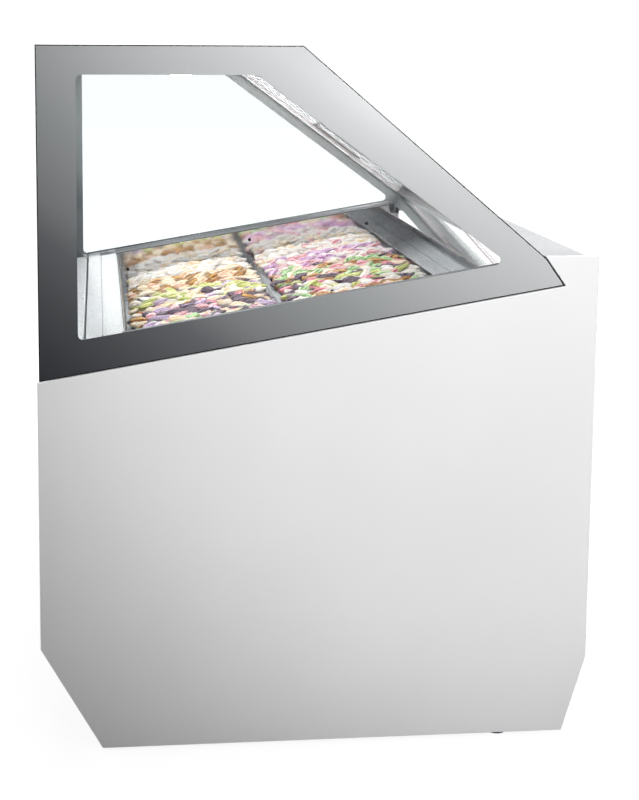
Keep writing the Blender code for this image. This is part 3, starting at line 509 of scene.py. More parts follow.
# Streaks of the churn, about 5 mm wide, and ice crystals of about 0.8 mm.
churned = {"Vector": place, "Scale": 1 / CHURN_STREAK, "Detail": 4.0, "Distortion": 1.2}
streak = add_node(tree, "TexNoise", {}, churned).outputs["Fac"]
icy = {"Vector": place, "Scale": 1 / ICE_CRYSTAL, "Detail": 2.0}
crystal = add_node(tree, "TexNoise", {}, icy).outputs["Fac"]
swirled = add_node(tree, "UVMap", {"uv_map": "swirl"}, {}).outputs["UV"]
around = add_node(tree, "SeparateXYZ", {}, {"Vector": swirled}).outputs["X"]
wavering = add_node(tree, "Math", {"operation": "ADD"}, {0: around, 1: streak}).outputs["Value"]
turns = add_node(tree, "Math", {"operation": "MULTIPLY"}, {0: wavering, 1: 2 * math.pi}).outputs["Value"]
ridged = add_node(tree, "Math", {"operation": "COSINE"}, {0: turns}).outputs["Value"]
# Narrow grooves: only the lowest part of each wave is dark, with painted shade in it.
crest = add_node(tree, "MapRange", {}, {"Value": ridged, "From Min": -1.0, "From Max": 0.1}).outputs["Result"]
painted_groove_shade = add_node(tree, "Gamma", {}, {"Color": flavour, "Gamma": 3.2}).outputs["Color"]
stripes = {"Fac": crest, "Color1": painted_groove_shade, "Color2": flavour}
striped = add_node(tree, "MixRGB", {}, stripes).outputs["Color"]
richness = {"Value": streak, "From Min": 0.45, "From Max": 0.7, "To Max": 0.2}
cream_share = add_node(tree, "MapRange", {}, richness).outputs["Result"]
creamy = {"Fac": cream_share, "Color1": striped, "Color2": linear("fdf6ea")}
tone = add_node(tree, "MixRGB", {}, creamy).outputs["Color"]
dryness = {"Value": streak, "From Min": 0.3, "From Max": 0.7, "To Min": 0.25, "To Max": 0.55}
wet = add_node(tree, "MapRange", {}, dryness).outputs["Result"]
grainy = add_node(tree, "Math", {"operation": "ADD"}, {0: streak, 1: crystal}).outputs["Value"]
relief = add_node(tree, "Math", {"operation": "ADD"}, {0: grainy, 1: crest}).outputs["Value"]
bump = add_node(tree, "Bump", {}, {"Height": relief, "Distance": 0.0009, "Strength": 1.0})
tree.links.new(tone, shader.inputs["Base Color"])
tree.links.new(wet, shader.inputs["Roughness"])
tree.links.new(bump.outputs["Normal"], shader.inputs["Normal"])


def inside_pan(x, y, margin):
    """The nearest point inside the pan's rounded mouth."""
    half_x, half_y = HEAP_HALF[0] - margin, HEAP_HALF[1] - margin
    x, y = max(-half_x, min(half_x, x)), max(-half_y, min(half_y, y))
    corner = Vector((abs(x) - half_x + PAN_CORNER, abs(y) - half_y + PAN_CORNER))
    if corner.x > 0 and corner.y > 0 and corner.length > PAN_CORNER:
        corner *= PAN_CORNER / corner.length
        x = math.copysign(half_x - PAN_CORNER + corner.x, x)
        y = math.copysign(half_y - PAN_CORNER + corner.y, y)
    return x, y


def heap_height(x, y, seed):
    """The heap is low along the walls, crowned in the middle and uneven."""
    crown = (1 - (x / HEAP_HALF[0]) ** 4) * (1 - (y / HEAP_HALF[1]) ** 4)
    lump = noise.noise(Vector((LUMPS_PER_METRE * x, LUMPS_PER_METRE * y, seed)))
    return HEAP_EDGE + HEAP_CROWN * max(crown, 0) ** 0.5 + HEAP_LUMP * lump


def curl(rng, spot, size, pair):
    """Vertices, faces, corner UVs and colours of one curl lying at spot. U counts the ridges round it."""
    ridge, groove = (Vector(linear(tone)[:3]) for tone in pair)
    turn = Matrix.Rotation(rng.choice((1.1, 2.05)) + rng.uniform(-0.5, 0.5), 3, "Z")
    lean = 0.45 if size[2] > 0.005 else 0.8
    tilt = Matrix.Rotation(rng.uniform(-0.3, 0.3), 3, "Y") @ Matrix.Rotation(rng.uniform(-lean, lean), 3, "X")
    twist, lobes, bend = rng.uniform(0.8, 1.8), rng.choice((2, 3, 4)), rng.uniform(-0.7, 0.7)
    fine, spiral = rng.choice((5, 6, 7)), rng.uniform(0.4, 1.6)
    points, colours = [], []
    for ring in range(CURL_RINGS + 1):
        t = -math.cos(math.pi * ring / CURL_RINGS)
        girth = max(1 - t * t, 0) ** 0.75 * (1.15 - 0.4 * t)
        for segment in range(1 if ring in (0, CURL_RINGS) else CURL_SEGMENTS):
            angle = 2 * math.pi * segment / CURL_SEGMENTS
            wave = 0.5 + 0.5 * math.cos(lobes * angle + twist * t * 2)
            radius = girth * (0.74 + 0.32 * wave)
            point = Vector((t, radius * math.cos(angle) + bend * t * t, radius * math.sin(angle)))
            point = Vector((point.x * size[0], point.y * size[1], point.z * size[2]))
            points.append(spot + turn @ (tilt @ point))
            # The low parts of the lobes take the groove colour, partly painted shade.
            colours.append((*groove.lerp(ridge, wave**0.7), 1.0))
    faces, corners = [], []

    def corner(ring, segment):
        """The vertex at a place on the curl, and its U and V."""
        level = 0 if ring == 0 else 1 + (ring - 1) * CURL_SEGMENTS
        point = level if ring in (0, CURL_RINGS) else level + segment % CURL_SEGMENTS
        return point, (fine * segment / CURL_SEGMENTS + spiral * ring / CURL_RINGS, ring / CURL_RINGS)

    for ring in range(CURL_RINGS):
        for segment in range(CURL_SEGMENTS):
            round_face = [corner(ring, segment), corner(ring, segment + 1)]
            round_face += [corner(ring + 1, segment + 1), corner(ring + 1, segment)]
            if ring == 0:
                del round_face[1]
            elif ring == CURL_RINGS - 1:
                del round_face[3]
            faces.append(tuple(point for point, _ in round_face))
            corners += [uv for _, uv in round_face]
    return points, faces, corners, colours


for number, (place, tones) in enumerate(FLAVOURS.items()):
    rng = random.Random(40 + number)
    bpy.ops.object.select_all(action="DESELECT")
    bpy.ops.mesh.primitive_grid_add(x_subdivisions=16, y_subdivisions=30, size=2)
    heap = bpy.context.object
    for vertex in heap.data.vertices:
        x, y = inside_pan(vertex.co.x * HEAP_HALF[0], vertex.co.y * HEAP_HALF[1], 0)
        vertex.co = (x, y, heap_height(x, y, number) - LAYER_RISE)
    bpy.ops.object.mode_set(mode="EDIT")
    bpy.ops.mesh.select_all(action="SELECT")
    bpy.ops.mesh.extrude_region_move(TRANSFORM_OT_translate={"value": (0, 0, -HEAP_DEEP)})
    bpy.ops.transform.resize(value=(0.90, 0.95, 0.1), center_override=(0, 0, -0.095))
    bpy.ops.mesh.select_all(action="SELECT")
    bpy.ops.mesh.normals_make_consistent(inside=False)
    bpy.ops.object.mode_set(mode="OBJECT")
    vertices = [vertex.co.copy() for vertex in heap.data.vertices]
    faces = [tuple(face.vertices) for face in heap.data.polygons]
    # The heap seen between the curls takes the first groove colour, partly painted shade.
    base_tone = Vector(linear(tones[0][0][1])[:3])
    colours = [(*base_tone, 1.0)] * len(vertices)
    corners = [(0.0, 0.5)] * len(heap.data.loops)
    bag = [pair for pair, count in tones for _ in range(count)]
    for layer in (0, 1):
        rows, across = CURL_ROWS - layer, CURLS_ACROSS - layer
        for row in range(rows):
            for column in range(across):
                x = HEAP_HALF[0] * (2 * (column + 0.5) / across - 1) + rng.uniform(-CURL_STRAY, CURL_STRAY)
                y = HEAP_HALF[1] * (2 * (row + 0.5) / rows - 1) + rng.uniform(-CURL_STRAY, CURL_STRAY)
                x, y = inside_pan(x, y, CURL_FROM_WALL)
                z = heap_height(x, y, number) + LAYER_RISE * layer + rng.uniform(-0.001, 0.003)
                thick = rng.choice(CURL_THICK)
                size = (rng.uniform(*CURL_LENGTH), rng.uniform(*CURL_GIRTH), thick)
                added = curl(rng, Vector((x, y, z)), size, rng.choice(bag))
                faces += [tuple(i + len(vertices) for i in face) for face in added[1]]
                vertices += added[0]
                corners += added[2]
                colours += added[3]
    mesh = bpy.data.meshes.new("ice_cream_" + place)
    mesh.from_pydata([tuple(vertex) for vertex in vertices], [], faces)
    tinted = mesh.color_attributes.new(name="flavour", type="FLOAT_COLOR", domain="POINT")
    tinted.data.foreach_set("color", [value for colour in colours for value in colour])
    swirl = mesh.uv_layers.new(name="swirl")
    swirl.data.foreach_set("uv", [value for uv in corners for value in uv])
    heap.data = mesh
    heap.name = "ice_cream_" + place
    mesh.shade_smooth()
    row, column = place.split("_")
    moved(heap, deck_place((int(column) - 3.5) * PAN_PITCH, PAN_ROWS[row], PAN_UP))
    painted(heap, ice_cream)
    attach(heap, "pan_" + place)

# --- Ledge, sill and lip ----------------------------------------------------------------------------------
# The customer's edge of the well is a white coated ledge in two folded strips with a fine seam, and a sill
# that fills the space to the front glass. The server's edge is a polished steel lip that carries the doors.

# White powder coat on steel: bright neutral white, half gloss, with orange peel about 1.5 mm across.
white_coat = finish("white powder coat", ("eeeeef", "f1f1f2"), 0.25, (0.28, 0.36), 0.0015, 0.00001)
# White lacquered aluminium trim: a greyer white than the powder coat, and a little glossier and smoother.
white_lacquer = finish("white lacquered aluminium", ("c9cacb", "cfd0d1"), 0.2, (0.24, 0.32), 0.002, 0.000006)
SEAM_ALONG, SEAM_GAP = 0.1335, 0.0004
for name, keep_front in (("ledge_strip_front", True), ("ledge_strip_rear", False)):
    strip = flat_copy("front_ledge", name)
    bpy.ops.object.mode_set(mode="EDIT")
    bpy.ops.mesh.select_all(action="SELECT")
    y, z = deck(SEAM_ALONG + (-SEAM_GAP if keep_front else SEAM_GAP), 0)
    across = (0, math.cos(DECK_ANGLE), math.sin(DECK_ANGLE))
    bpy.ops.mesh.bisect(
        plane_co=(0, y, z), plane_no=across, use_fill=True, clear_outer=keep_front, clear_inner=not keep_front
    )
    bpy.ops.object.mode_set(mode="OBJECT")
    soften(strip, 0.0009, 3)
    seated(painted(strip, white_lacquer), "front_ledge")
edged("front_sill", "folded_sill", white_lacquer, 0.0012, 3)
edged("rear_lip", "polished_lip", bright_steel, 0.0004, 2)

# --- Glass case -------------------------------------------------------------------------------------------
# Two 8 mm tempered side glasses, an 8 mm front glass and a dark enamelled top panel, bonded edge to edge.
# A grey border is screen printed round each side glass and leaves a window with round corners. Inside, a
# vinyl seal on the rim of the tub and a polished steel strip above it close the foot of each side glass.


def glazing(name, tint, edge_glow, roughness):
    """A clear sheet that keeps what is behind it undistorted and mirrors more at a glancing angle."""
    material = bpy.data.materials.new(name)
    material.use_nodes = True
    tree = material.node_tree
    tree.nodes.remove(tree.nodes["Principled BSDF"])
    place = add_node(tree, "TexCoord", {}, {}).outputs["Object"]
    # Traces of wiping, in soft arcs about 60 mm wide.
    arcs = {"Vector": place, "Scale": 1 / 0.06, "Detail": 2.0, "Distortion": 0.8}
    wiped = add_node(tree, "TexNoise", {}, arcs).outputs["Fac"]
    haze = {"Value": wiped, "To Min": roughness, "To Max": roughness + 0.03}
    rough = add_node(tree, "MapRange", {}, haze).outputs["Result"]
    facing = add_node(tree, "LayerWeight", {}, {"Blend": 0.5}).outputs["Facing"]
    steep = add_node(tree, "Math", {"operation": "POWER"}, {0: facing, 1: 4.0}).outputs["Value"]
    mirrored = {"Value": steep, "To Min": 0.012, "To Max": edge_glow}
    part = add_node(tree, "MapRange", {}, mirrored).outputs["Result"]
    through = add_node(tree, "BsdfTransparent", {}, {"Color": linear(tint)}).outputs["BSDF"]
    mirror = add_node(tree, "BsdfGlossy", {}, {"Color": (1, 1, 1, 1), "Roughness": rough}).outputs["BSDF"]
    mixed = add_node(tree, "MixShader", {}, {"Fac": part, 1: through, 2: mirror})
    tree.links.new(mixed.outputs["Shader"], tree.nodes["Material Output"].inputs["Surface"])
    return material


# Tempered float glass: clear, a trace of green, with faint wiping marks in its shine.
float_glass = glazing("tempered float glass", "fdfefe", 0.55, 0.0)
# Ground and polished glass edge, sealed black: dark and glossy.
sealed_edge = finish("black sealed glass edge", ("0c0d0e", "141517"), 0.05, (0.12, 0.2), 0.002, 0.00001)
# Back-enamelled glass of the top panel: very dark grey, nearly mirror smooth.
dark_glass = finish("dark enamelled glass", ("2b2d2f", "323436"), 0.3, (0.08, 0.13), 0.02, 0.000004, coat=0.2)
for side in ("left", "right"):
    edged("side_glass_" + side, "tempered_side_" + side, float_glass, 0.001, 2)
edged("front_glass", "tempered_front", float_glass, 0.001, 2)
edged("top_panel", "enamelled_top", dark_glass, 0.0012, 3)

# Screen-printed grey enamel, glossy as the glass it is fired on, with a fine mesh grain of about 0.6 mm. Over
# it
# painted light and shade: the grey is graded from graphite at the customer's foot of the glass, where the
# shade falls, to silver at its upper server's side, where the light falls. The grade climbs with height, and
# by the lean with the way from the customer's side.
GRADE_LEAN, GRADE_FROM, GRADE_TO = 0.65, 0.38, 1.33
printed_grey_with_painted_shade = bpy.data.materials.new("screen printed enamel with painted shade")
printed_grey_with_painted_shade.use_nodes = True
tree = printed_grey_with_painted_shade.node_tree
shader = tree.nodes["Principled BSDF"]
place = add_node(tree, "TexCoord", {}, {}).outputs["Object"]
parts = add_node(tree, "SeparateXYZ", {}, {"Vector": place})
leaning = {0: parts.outputs["Y"], 1: GRADE_LEAN}
across = add_node(tree, "Math", {"operation": "MULTIPLY"}, leaning).outputs["Value"]
climb = add_node(tree, "Math", {"operation": "ADD"}, {0: across, 1: parts.outputs["Z"]}).outputs["Value"]
span = {"Value": climb, "From Min": GRADE_FROM, "From Max": GRADE_TO}
level = add_node(tree, "MapRange", {}, span).outputs["Result"]
grade = add_node(tree, "ValToRGB", {}, {"Fac": level})
# Stops of the painted light and shade: dark at the foot of the glass, pale high up.
PRINT_SHADE_STOPS = (
    (0.0, "36383b"), (0.07, "404246"), (0.17, "4e5053"), (0.29, "626467"), (0.37, "7c7e80"), (0.54, "979a9b"),
    (0.65, "a9abac"), (0.75, "b7b9ba"), (0.84, "c1c3c4"), (0.95, "cfd1d2"), (1.0, "cfd1d2"),
)
ramp = grade.color_ramp
for position, tone in PRINT_SHADE_STOPS[1:-1]:
    ramp.elements.new(position)
for element, (position, tone) in zip(ramp.elements, PRINT_SHADE_STOPS):
    element.position = position
    element.color = linear(tone)
grain = {"Vector": place, "Scale": 1 / 0.0006, "Detail": 1.0}
mesh_grain = add_node(tree, "TexNoise", {}, grain).outputs["Fac"]
grain_rough = add_node(tree, "MapRange", {}, {"Value": mesh_grain, "To Min": 0.12, "To Max": 0.2})
grain_bump = add_node(tree, "Bump", {}, {"Height": mesh_grain, "Distance": 0.000006, "Strength": 1.0})
tree.links.new(grade.outputs["Color"], shader.inputs["Base Color"])
tree.links.new(grain_rough.outputs["Result"], shader.inputs["Roughness"])
tree.links.new(grain_bump.outputs["Normal"], shader.inputs["Normal"])

GLASS_OUTLINE = [(-0.5299, 0.7266), (0.4680, 0.8978), (0.4300, 0.9510), (-0.0389, 1.3500), (-0.5299, 1.3500)]
WINDOW_OUTLINE = [(-0.4570, 0.8040), (0.3560, 0.9420), (-0.1240, 1.2960), (-0.4570, 1.2960)]
WINDOW_RADII = (0.009, 0.010, 0.014, 0.010)
EDGE_LINE = 0.0019
PRINT_OUT, PRINT_THICK, EDGE_LINE_THICK = 0.0004, 0.0005, 0.0006


def inset_outline(points, distance):
    """A convex outline, anticlockwise, drawn in by a distance on every side."""
    drawn = []
    for before, point, after in zip(points[-1:] + points[:-1], points, points[1:] + points[:1]):
        a = (Vector(point) - Vector(before)).normalized()
        b = (Vector(after) - Vector(point)).normalized()
        inward_a, inward_b = Vector((-a.y, a.x)), Vector((-b.y, b.x))
        share = distance / (1 + inward_a.dot(inward_b))
        drawn.append(tuple(Vector(point) + share * (inward_a + inward_b)))
    return drawn


def rounded(points, radii, steps=8):
    """An outline whose corners are arcs."""
    drawn = []
    neighbours = zip(points[-1:] + points[:-1], points, points[1:] + points[:1], radii)
    for before, point, after, radius in neighbours:
        corner = Vector(point)
        a, b = (Vector(before) - corner).normalized(), (Vector(after) - corner).normalized()
        half = a.angle(b) / 2
        middle = corner + (a + b).normalized() * radius / math.sin(half)
        start = corner + a * radius / math.tan(half) - middle
        end = corner + b * radius / math.tan(half) - middle
        sweep = start.angle_signed(end)
        for step in range(steps + 1):
            drawn.append(tuple(middle + Matrix.Rotation(-sweep * step / steps, 2) @ start))
    return drawn


def cut_sheet(name, outlines, thick, x):
    """A thin sheet across X, cut to an outline with holes, its middle at x."""
    shape = bpy.data.curves.new(name, "CURVE")
    shape.dimensions = "2D"
    shape.fill_mode = "BOTH"
    shape.extrude = thick / 2
    for outline in outlines:
        line = shape.splines.new("POLY")
        line.points.add(len(outline) - 1)
        for point, (y, z) in zip(line.points, outline):
            point.co = (y, z, 0, 1)
        line.use_cyclic_u = True
    sheet = bpy.data.objects.new(name, shape)
    bpy.context.scene.collection.objects.link(sheet)
    only(sheet)
    bpy.ops.object.convert(target="MESH")
    sheet = bpy.context.object
    across_x = Matrix(((0, 0, 1, 0), (1, 0, 0, 0), (0, 1, 0, 0), (0, 0, 0, 1)))
    moved(sheet, Matrix.Translation((x, 0, 0)) @ across_x)
    bpy.ops.object.mode_set(mode="EDIT")
    bpy.ops.mesh.select_all(action="SELECT")
    bpy.ops.mesh.remove_doubles(threshold=0.00001)
    bpy.ops.mesh.normals_make_consistent(inside=False)
    bpy.ops.object.mode_set(mode="OBJECT")
    return sheet


ENDS = ((-1, "left"), (1, "right"))
glass_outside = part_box("side_glass_right")[1].x
window = rounded(WINDOW_OUTLINE, WINDOW_RADII)
border = inset_outline(GLASS_OUTLINE, EDGE_LINE)
for side, name in ENDS:
    face = side * (glass_outside + PRINT_OUT)
    sheet = painted(cut_sheet("printed_border_" + name, [border, window], PRINT_THICK, face), printed_grey_with_painted_shade)
    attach(sheet, "cabinet")
    line = cut_sheet("sealed_edge_" + name, [GLASS_OUTLINE, border], EDGE_LINE_THICK, face)
    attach(painted(line, sealed_edge), "cabinet")

# Grey vinyl seal, extruded: soft satin, it lies on the rim of the tub against each side glass.
grey_vinyl = finish(
    "extruded grey vinyl", ("5d5f62", "66686b"), 0.05, (0.45, 0.55), 0.002, 0.00002, stretch=(0.05, 1, 1)
)
SEAL_ACROSS, SEAL_ALONG, SEAL_THICK, SEAL_UP = (0.5325, 0.5734), (0.0850, 0.9100), 0.0012, 0.0560
seal_size = (SEAL_ACROSS[1] - SEAL_ACROSS[0], SEAL_ALONG[1] - SEAL_ALONG[0], SEAL_THICK)
for side, name in ENDS:
    seal = soften(block("rim_seal_" + name, seal_size), 0.0005, 3)
    moved(seal, deck_place(side * sum(SEAL_ACROSS) / 2, sum(SEAL_ALONG) / 2, SEAL_UP))
    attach(painted(seal, grey_vinyl), "cabinet")

# Polished strips close the gap between the seal and the printed border, inside each side glass.
GLASS_INSIDE, STRIP_THICK = 0.5748, 0.0010
strip_outline = [deck(0.0878, 0.0568), deck(0.9056, 0.0568), (0.3500, 0.9385), (-0.4560, 0.8017)]
for side, name in ENDS:
    middle = side * (GLASS_INSIDE - STRIP_THICK / 2)
    sheet = cut_sheet("end_wall_strip_" + name, [strip_outline], STRIP_THICK, middle)
    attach(painted(sheet, bright_steel), "cabinet")

# --- Lamp canopy ------------------------------------------------------------------------------------------
# A folded white canopy under the top panel holds a light strip across the whole case, behind an opal
# diffuser with fine ribs along it.

# Opal acrylic over the lamp: milky and evenly lit, with ribs 3 mm apart along the strip.
opal = bpy.data.materials.new("lit opal acrylic")
opal.use_nodes = True
tree = opal.node_tree
shader = tree.nodes["Principled BSDF"]
place = add_node(tree, "TexCoord", {}, {}).outputs["Object"]
waves = {"Vector": place, "Scale": 0.05 / 0.003, "Distortion": 0.0}
ribs = add_node(tree, "TexWave", {"bands_direction": "Y"}, waves).outputs["Fac"]
rib_bump = add_node(tree, "Bump", {}, {"Height": ribs, "Distance": 0.0004, "Strength": 1.0})
rib_tone = {"Fac": ribs, "Color1": linear("f2f6fa"), "Color2": linear("ffffff")}
milky = add_node(tree, "MixRGB", {}, rib_tone).outputs["Color"]
tree.links.new(milky, shader.inputs["Base Color"])
tree.links.new(milky, shader.inputs["Emission Color"])
tree.links.new(rib_bump.outputs["Normal"], shader.inputs["Normal"])
shader.inputs["Emission Strength"].default_value = 34.0
shader.inputs["Roughness"].default_value = 0.4
edged("light_canopy", "folded_canopy", white_coat, 0.0008)
edged("lamp_diffuser", "ribbed_diffuser", opal, 0.0015, 3)

# --- Sliding doors ----------------------------------------------------------------------------------------
# Two clear acrylic doors slope down to the worktop in a double track of extruded aluminium, each with a
# raised pull at its outer end. The cut edges are polished, and the light they catch is painted on them as a
# pale colour.

# Natural anodised aluminium, extruded: pale satin grey with die lines along the length.
anodised = finish(
    "anodised aluminium extrusion", ("a6a9ab", "b5b7b9"), 0.1, (0.28, 0.38), 0.0008, 0.00001,
    stretch=(0.03, 1, 1), metallic=1.0,
)
for node in ("door_track_lower", "door_track_upper"):
    edged(node, node.replace("door_track", "double_track"), anodised, 0.0004)
for side in ("left", "right"):
    edged("door_end_frame_" + side, "end_frame_" + side, anodised, 0.0006)

# Clear cast acrylic: colourless, with a soft shine.
acrylic = glazing("clear cast acrylic", "fdfcfc", 0.5, 0.01)
# Polished edge of the acrylic, with a blush of pink. Its pale colour is painted light, the glow of the light
# the edge gathers.
acrylic_edge_painted_glow = finish("polished acrylic edge with painted glow", ("f6ecec", "fbf4f4"), 0.02, (0.1, 0.16), 0.001, 0.00001)
DOOR_OUT = Vector((0, 0.597, 0.802))
for side in ("left", "right"):
    body = "door_" + side
    pane = edged("door_pane_" + side, "door_sheet_" + side, acrylic, 0.0006, 2, body)
    pane.data.materials.append(acrylic_edge_painted_glow)
    for face in pane.data.polygons:
        if abs(face.normal.dot(DOOR_OUT)) < 0.9:
            face.material_index = 1
    edged("door_pull_" + side, "door_grip_" + side, anodised, 0.0035, 4, body)

# --- Cabinet panels ---------------------------------------------------------------------------------------
# Flat white end panels hide the cabinet's ends, with white front and rear panels between them, a dark kick
# plate that slopes in to the floor and a brushed steel worktop. Panels hook on and are screwed at the back.

# Graphite powder coat: dark, matt, finely textured.
graphite_coat = finish("graphite powder coat", ("303235", "393b3e"), 0.1, (0.45, 0.6), 0.001, 0.00003)
for side in ("left", "right"):
    edged("side_panel_" + side, "end_panel_" + side, white_coat, 0.0012, 3)
edged("front_panel", "front_sheet", white_coat, 0.0010, 3)
edged("rear_panel", "rear_sheet", white_coat, 0.0010, 3)
edged("front_kick", "kick_plate", graphite_coat, 0.0010, 3)
edged("worktop", "steel_worktop", brushed_steel, 0.0020, 4)

SCREWS_IN_ROW, FROM_SIDE, FROM_EDGE, GRILLE_FOOT_SCREWS = 5, 0.020, 0.018, 0.180
to_rear = Matrix.Rotation(-math.pi / 2, 4, "X")
zinc_screw = screw("zinc_screw", zinc_plate)
panel_low, panel_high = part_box("rear_panel")
grille_low, grille_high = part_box("rear_grille")
rear_screws = []
for low, high, levels in (
    (panel_low, panel_high, (panel_low.z + FROM_EDGE, panel_high.z - FROM_EDGE)),
    (grille_low, grille_high, (grille_high.z - FROM_EDGE, GRILLE_FOOT_SCREWS)),
):
    for z in levels:
        for step in range(SCREWS_IN_ROW):
            x = low.x + FROM_SIDE + step * (high.x - low.x - 2 * FROM_SIDE) / (SCREWS_IN_ROW - 1)
            seat = Matrix.Translation((x, high.y, z)) @ to_rear
            rear_screws.append(copied(zinc_screw, "rear_screw", seat))
bpy.data.objects.remove(zinc_screw)
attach(joined("rear_panel_screws", rear_screws), "cabinet")

# --- Rear grille and drip tray ----------------------------------------------------------------------------
# The machine bay breathes through pressed louvres in a grey coated sheet. Each louvre has a hood that
# throws water clear. The melt-water tray pulls out below, and a nylon gland takes the mains lead.

# Light grey powder coat: satin, finely textured.
grey_coat = finish("grey powder coat", ("a4a7a9", "acafb1"), 0.15, (0.36, 0.48), 0.0012, 0.00003)
edged("rear_grille", "louvred_sheet", grey_coat, 0.0004, 1)
HOOD = (0.418, 0.0075, 0.0165)
HOOD_TOP, HOOD_SHEET = 0.001, 0.0012
LOUVRES, LOUVRE_FOOT, LOUVRE_PITCH, LOUVRE_ACROSS = 10, 0.2325, 0.030, 0.235
hood = moved(block("hood", HOOD), Matrix.Translation((0, HOOD[1] / 2, 0)))
bpy.ops.object.mode_set(mode="EDIT")
pick("edges", lambda edge: all(v.co.z > 0 and v.co.y > HOOD_TOP for v in edge.verts))
bpy.ops.transform.translate(value=(0, HOOD_TOP - HOOD[1], 0))
pick("faces", lambda face: face.normal.z < -0.9 or face.normal.y < -0.9)
bpy.ops.mesh.delete(type="FACE")
bpy.ops.object.mode_set(mode="OBJECT")
modified(hood, "SOLIDIFY", thickness=HOOD_SHEET, offset=-1.0)
soften(hood, 0.0003, 1, 40)
painted(hood, grey_coat)
hoods = []
for side in (-1, 1):
    for row in range(LOUVRES):
        seat = (side * LOUVRE_ACROSS, grille_high.y + 0.0001, LOUVRE_FOOT + LOUVRE_PITCH * row)
        hoods.append(copied(hood, "hood", Matrix.Translation(seat)))
bpy.data.objects.remove(hood)
hoods = joined("louvre_hoods", hoods)
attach(hoods, "cabinet")
edged("drip_tray", "melt_tray", grey_abs, 0.0012, 3, "drip_tray")

# The tray's moulded face fills its doorway, flush with the sloping foot of the sheet. It has a finger hold.
TRAY_FACE = [(0.4692, 0.0460), (0.4730, 0.0460), (0.4855, 0.0974), (0.4692, 0.0974)]
TRAY_FACE_WIDTH = 0.3050
HOLD_SIZE, HOLD_AT = (0.100, 0.018, 0.024), (0.4840, 0.0760)
tray_low, tray_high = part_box("drip_tray")
tray_middle = (tray_low.x + tray_high.x) / 2
tray_face = cut_sheet("tray_face", [TRAY_FACE], TRAY_FACE_WIDTH, tray_middle)
hold = moved(block("hold", HOLD_SIZE), Matrix.Translation((tray_middle, *HOLD_AT)))
soften(hold, 0.006, 4)
modified(tray_face, "BOOLEAN", operation="DIFFERENCE", solver="EXACT", object=hold)
bpy.data.objects.remove(hold)
soften(tray_face, 0.0010, 2, 50)
painted(tray_face, grey_abs)
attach(tray_face, "drip_tray")

gland_low, gland_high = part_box("cable_gland")
gland_middle = (gland_low + gland_high) / 2
gland_steps = [
    (0.0128, 0.0060), (0.0110, 0.0066), (0.0108, 0.0075),
    (0.0108, 0.0140), (0.0096, 0.0156), (0.0070, 0.0180),
]
gland = lathed("lead_gland", (0.0128, 0.0004), gland_steps, 12)
bpy.ops.object.mode_set(mode="EDIT")
pick("faces", lambda face: face.normal.z > 0.9 and face.calc_center_median().z > 0.017)
drawn_up(gland_steps[-1], [(0.0048, 0.0180), (0.0046, 0.0080)])
bpy.ops.object.mode_set(mode="OBJECT")
soften(gland, 0.0004)
moved(gland, Matrix.Translation((gland_middle.x, grille_high.y, gland_middle.z)) @ to_rear)
seated(painted(gland, black_nylon), "cable_gland")

# --- Controls ---------------------------------------------------------------------------------------------
# A grey moulded housing on the rear panel holds two rocker switches, a dark display window and two round
# buttons that set the temperature and start the defrost.

edged("control_housing", "control_box", grey_abs, 0.0016, 3)
edged("light_switch", "lamp_rocker", black_nylon, 0.0006, 2, "light_rocker")
edged("power_switch", "mains_rocker", black_nylon, 0.0006, 2, "power_rocker")
edged("set_button", "set_cap", black_nylon, 0.0004, 2, "set_key")
edged("defrost_button", "defrost_cap", black_nylon, 0.0004, 2, "defrost_key")
# Display window, smoked acrylic: nearly black and glossy.
smoked = finish("smoked acrylic", ("0e0f11", "141619"), 0.02, (0.05, 0.08), 0.002, 0.000004, coat=0.5)
# Lit display segments: red digits seen through the smoke.
lit_segment = finish("lit red segment", ("ff3a24", "ff4a30"), 0.004, (0.3, 0.4), 0.001, 0.00001)
shader = lit_segment.node_tree.nodes["Principled BSDF"]
shader.inputs["Emission Color"].default_value = linear("ff3420")
shader.inputs["Emission Strength"].default_value = 1.5
DISPLAY, DISPLAY_ACROSS, DISPLAY_OUT = (0.046, 0.0016, 0.024), 0.3275, 0.0006
box_low, box_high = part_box("control_housing")
display_middle = Vector((DISPLAY_ACROSS, box_high.y + DISPLAY_OUT, (box_low.z + box_high.z) / 2))
display = moved(block("display_window", DISPLAY), Matrix.Translation(display_middle))
soften(display, 0.0007, 3)
painted(display, smoked)
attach(display, "cabinet")
# Seven-segment strokes for the temperature, -16: x, level from the middle, and whether it lies flat.
STROKE_PITCH, STROKE_LONG, STROKE_THIN, STROKE_OUT = 0.0031, 0.0052, 0.0010, 0.0004
MINUS, ONE = [(0.0130, 0, True)], [(0.0035, 1, False), (0.0035, -1, False)]
SIX = [(-0.0075, level, True) for level in (2, 0, -2)]
SIX += [(-0.0042, 1, False), (-0.0042, -1, False), (-0.0108, -1, False)]
bars = []
for x, level, flat in MINUS + ONE + SIX:
    size = (STROKE_LONG, STROKE_OUT, STROKE_THIN) if flat else (STROKE_THIN, STROKE_OUT, STROKE_LONG)
    seat = display_middle + Vector((x, DISPLAY[1] / 2 + 0.0001, level * STROKE_PITCH))
    bars.append(soften(moved(block("bar", size), Matrix.Translation(seat)), 0.00015, 1))
digits = joined("display_digits", bars)
painted(digits, lit_segment)
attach(digits, "cabinet")

# --- Studio: floor, light and camera ----------------------------------------------------------------------
# A pale seamless floor, a soft-edged key light in front of the near end, wide weak fills all round, a small
# light high over the near end, and a long lens near the height of the glass, looking along the cabinet.

bpy.ops.object.select_all(action="DESELECT")
bpy.ops.mesh.primitive_plane_add(size=40)
floor = bpy.context.object
floor.name = "studio_floor"
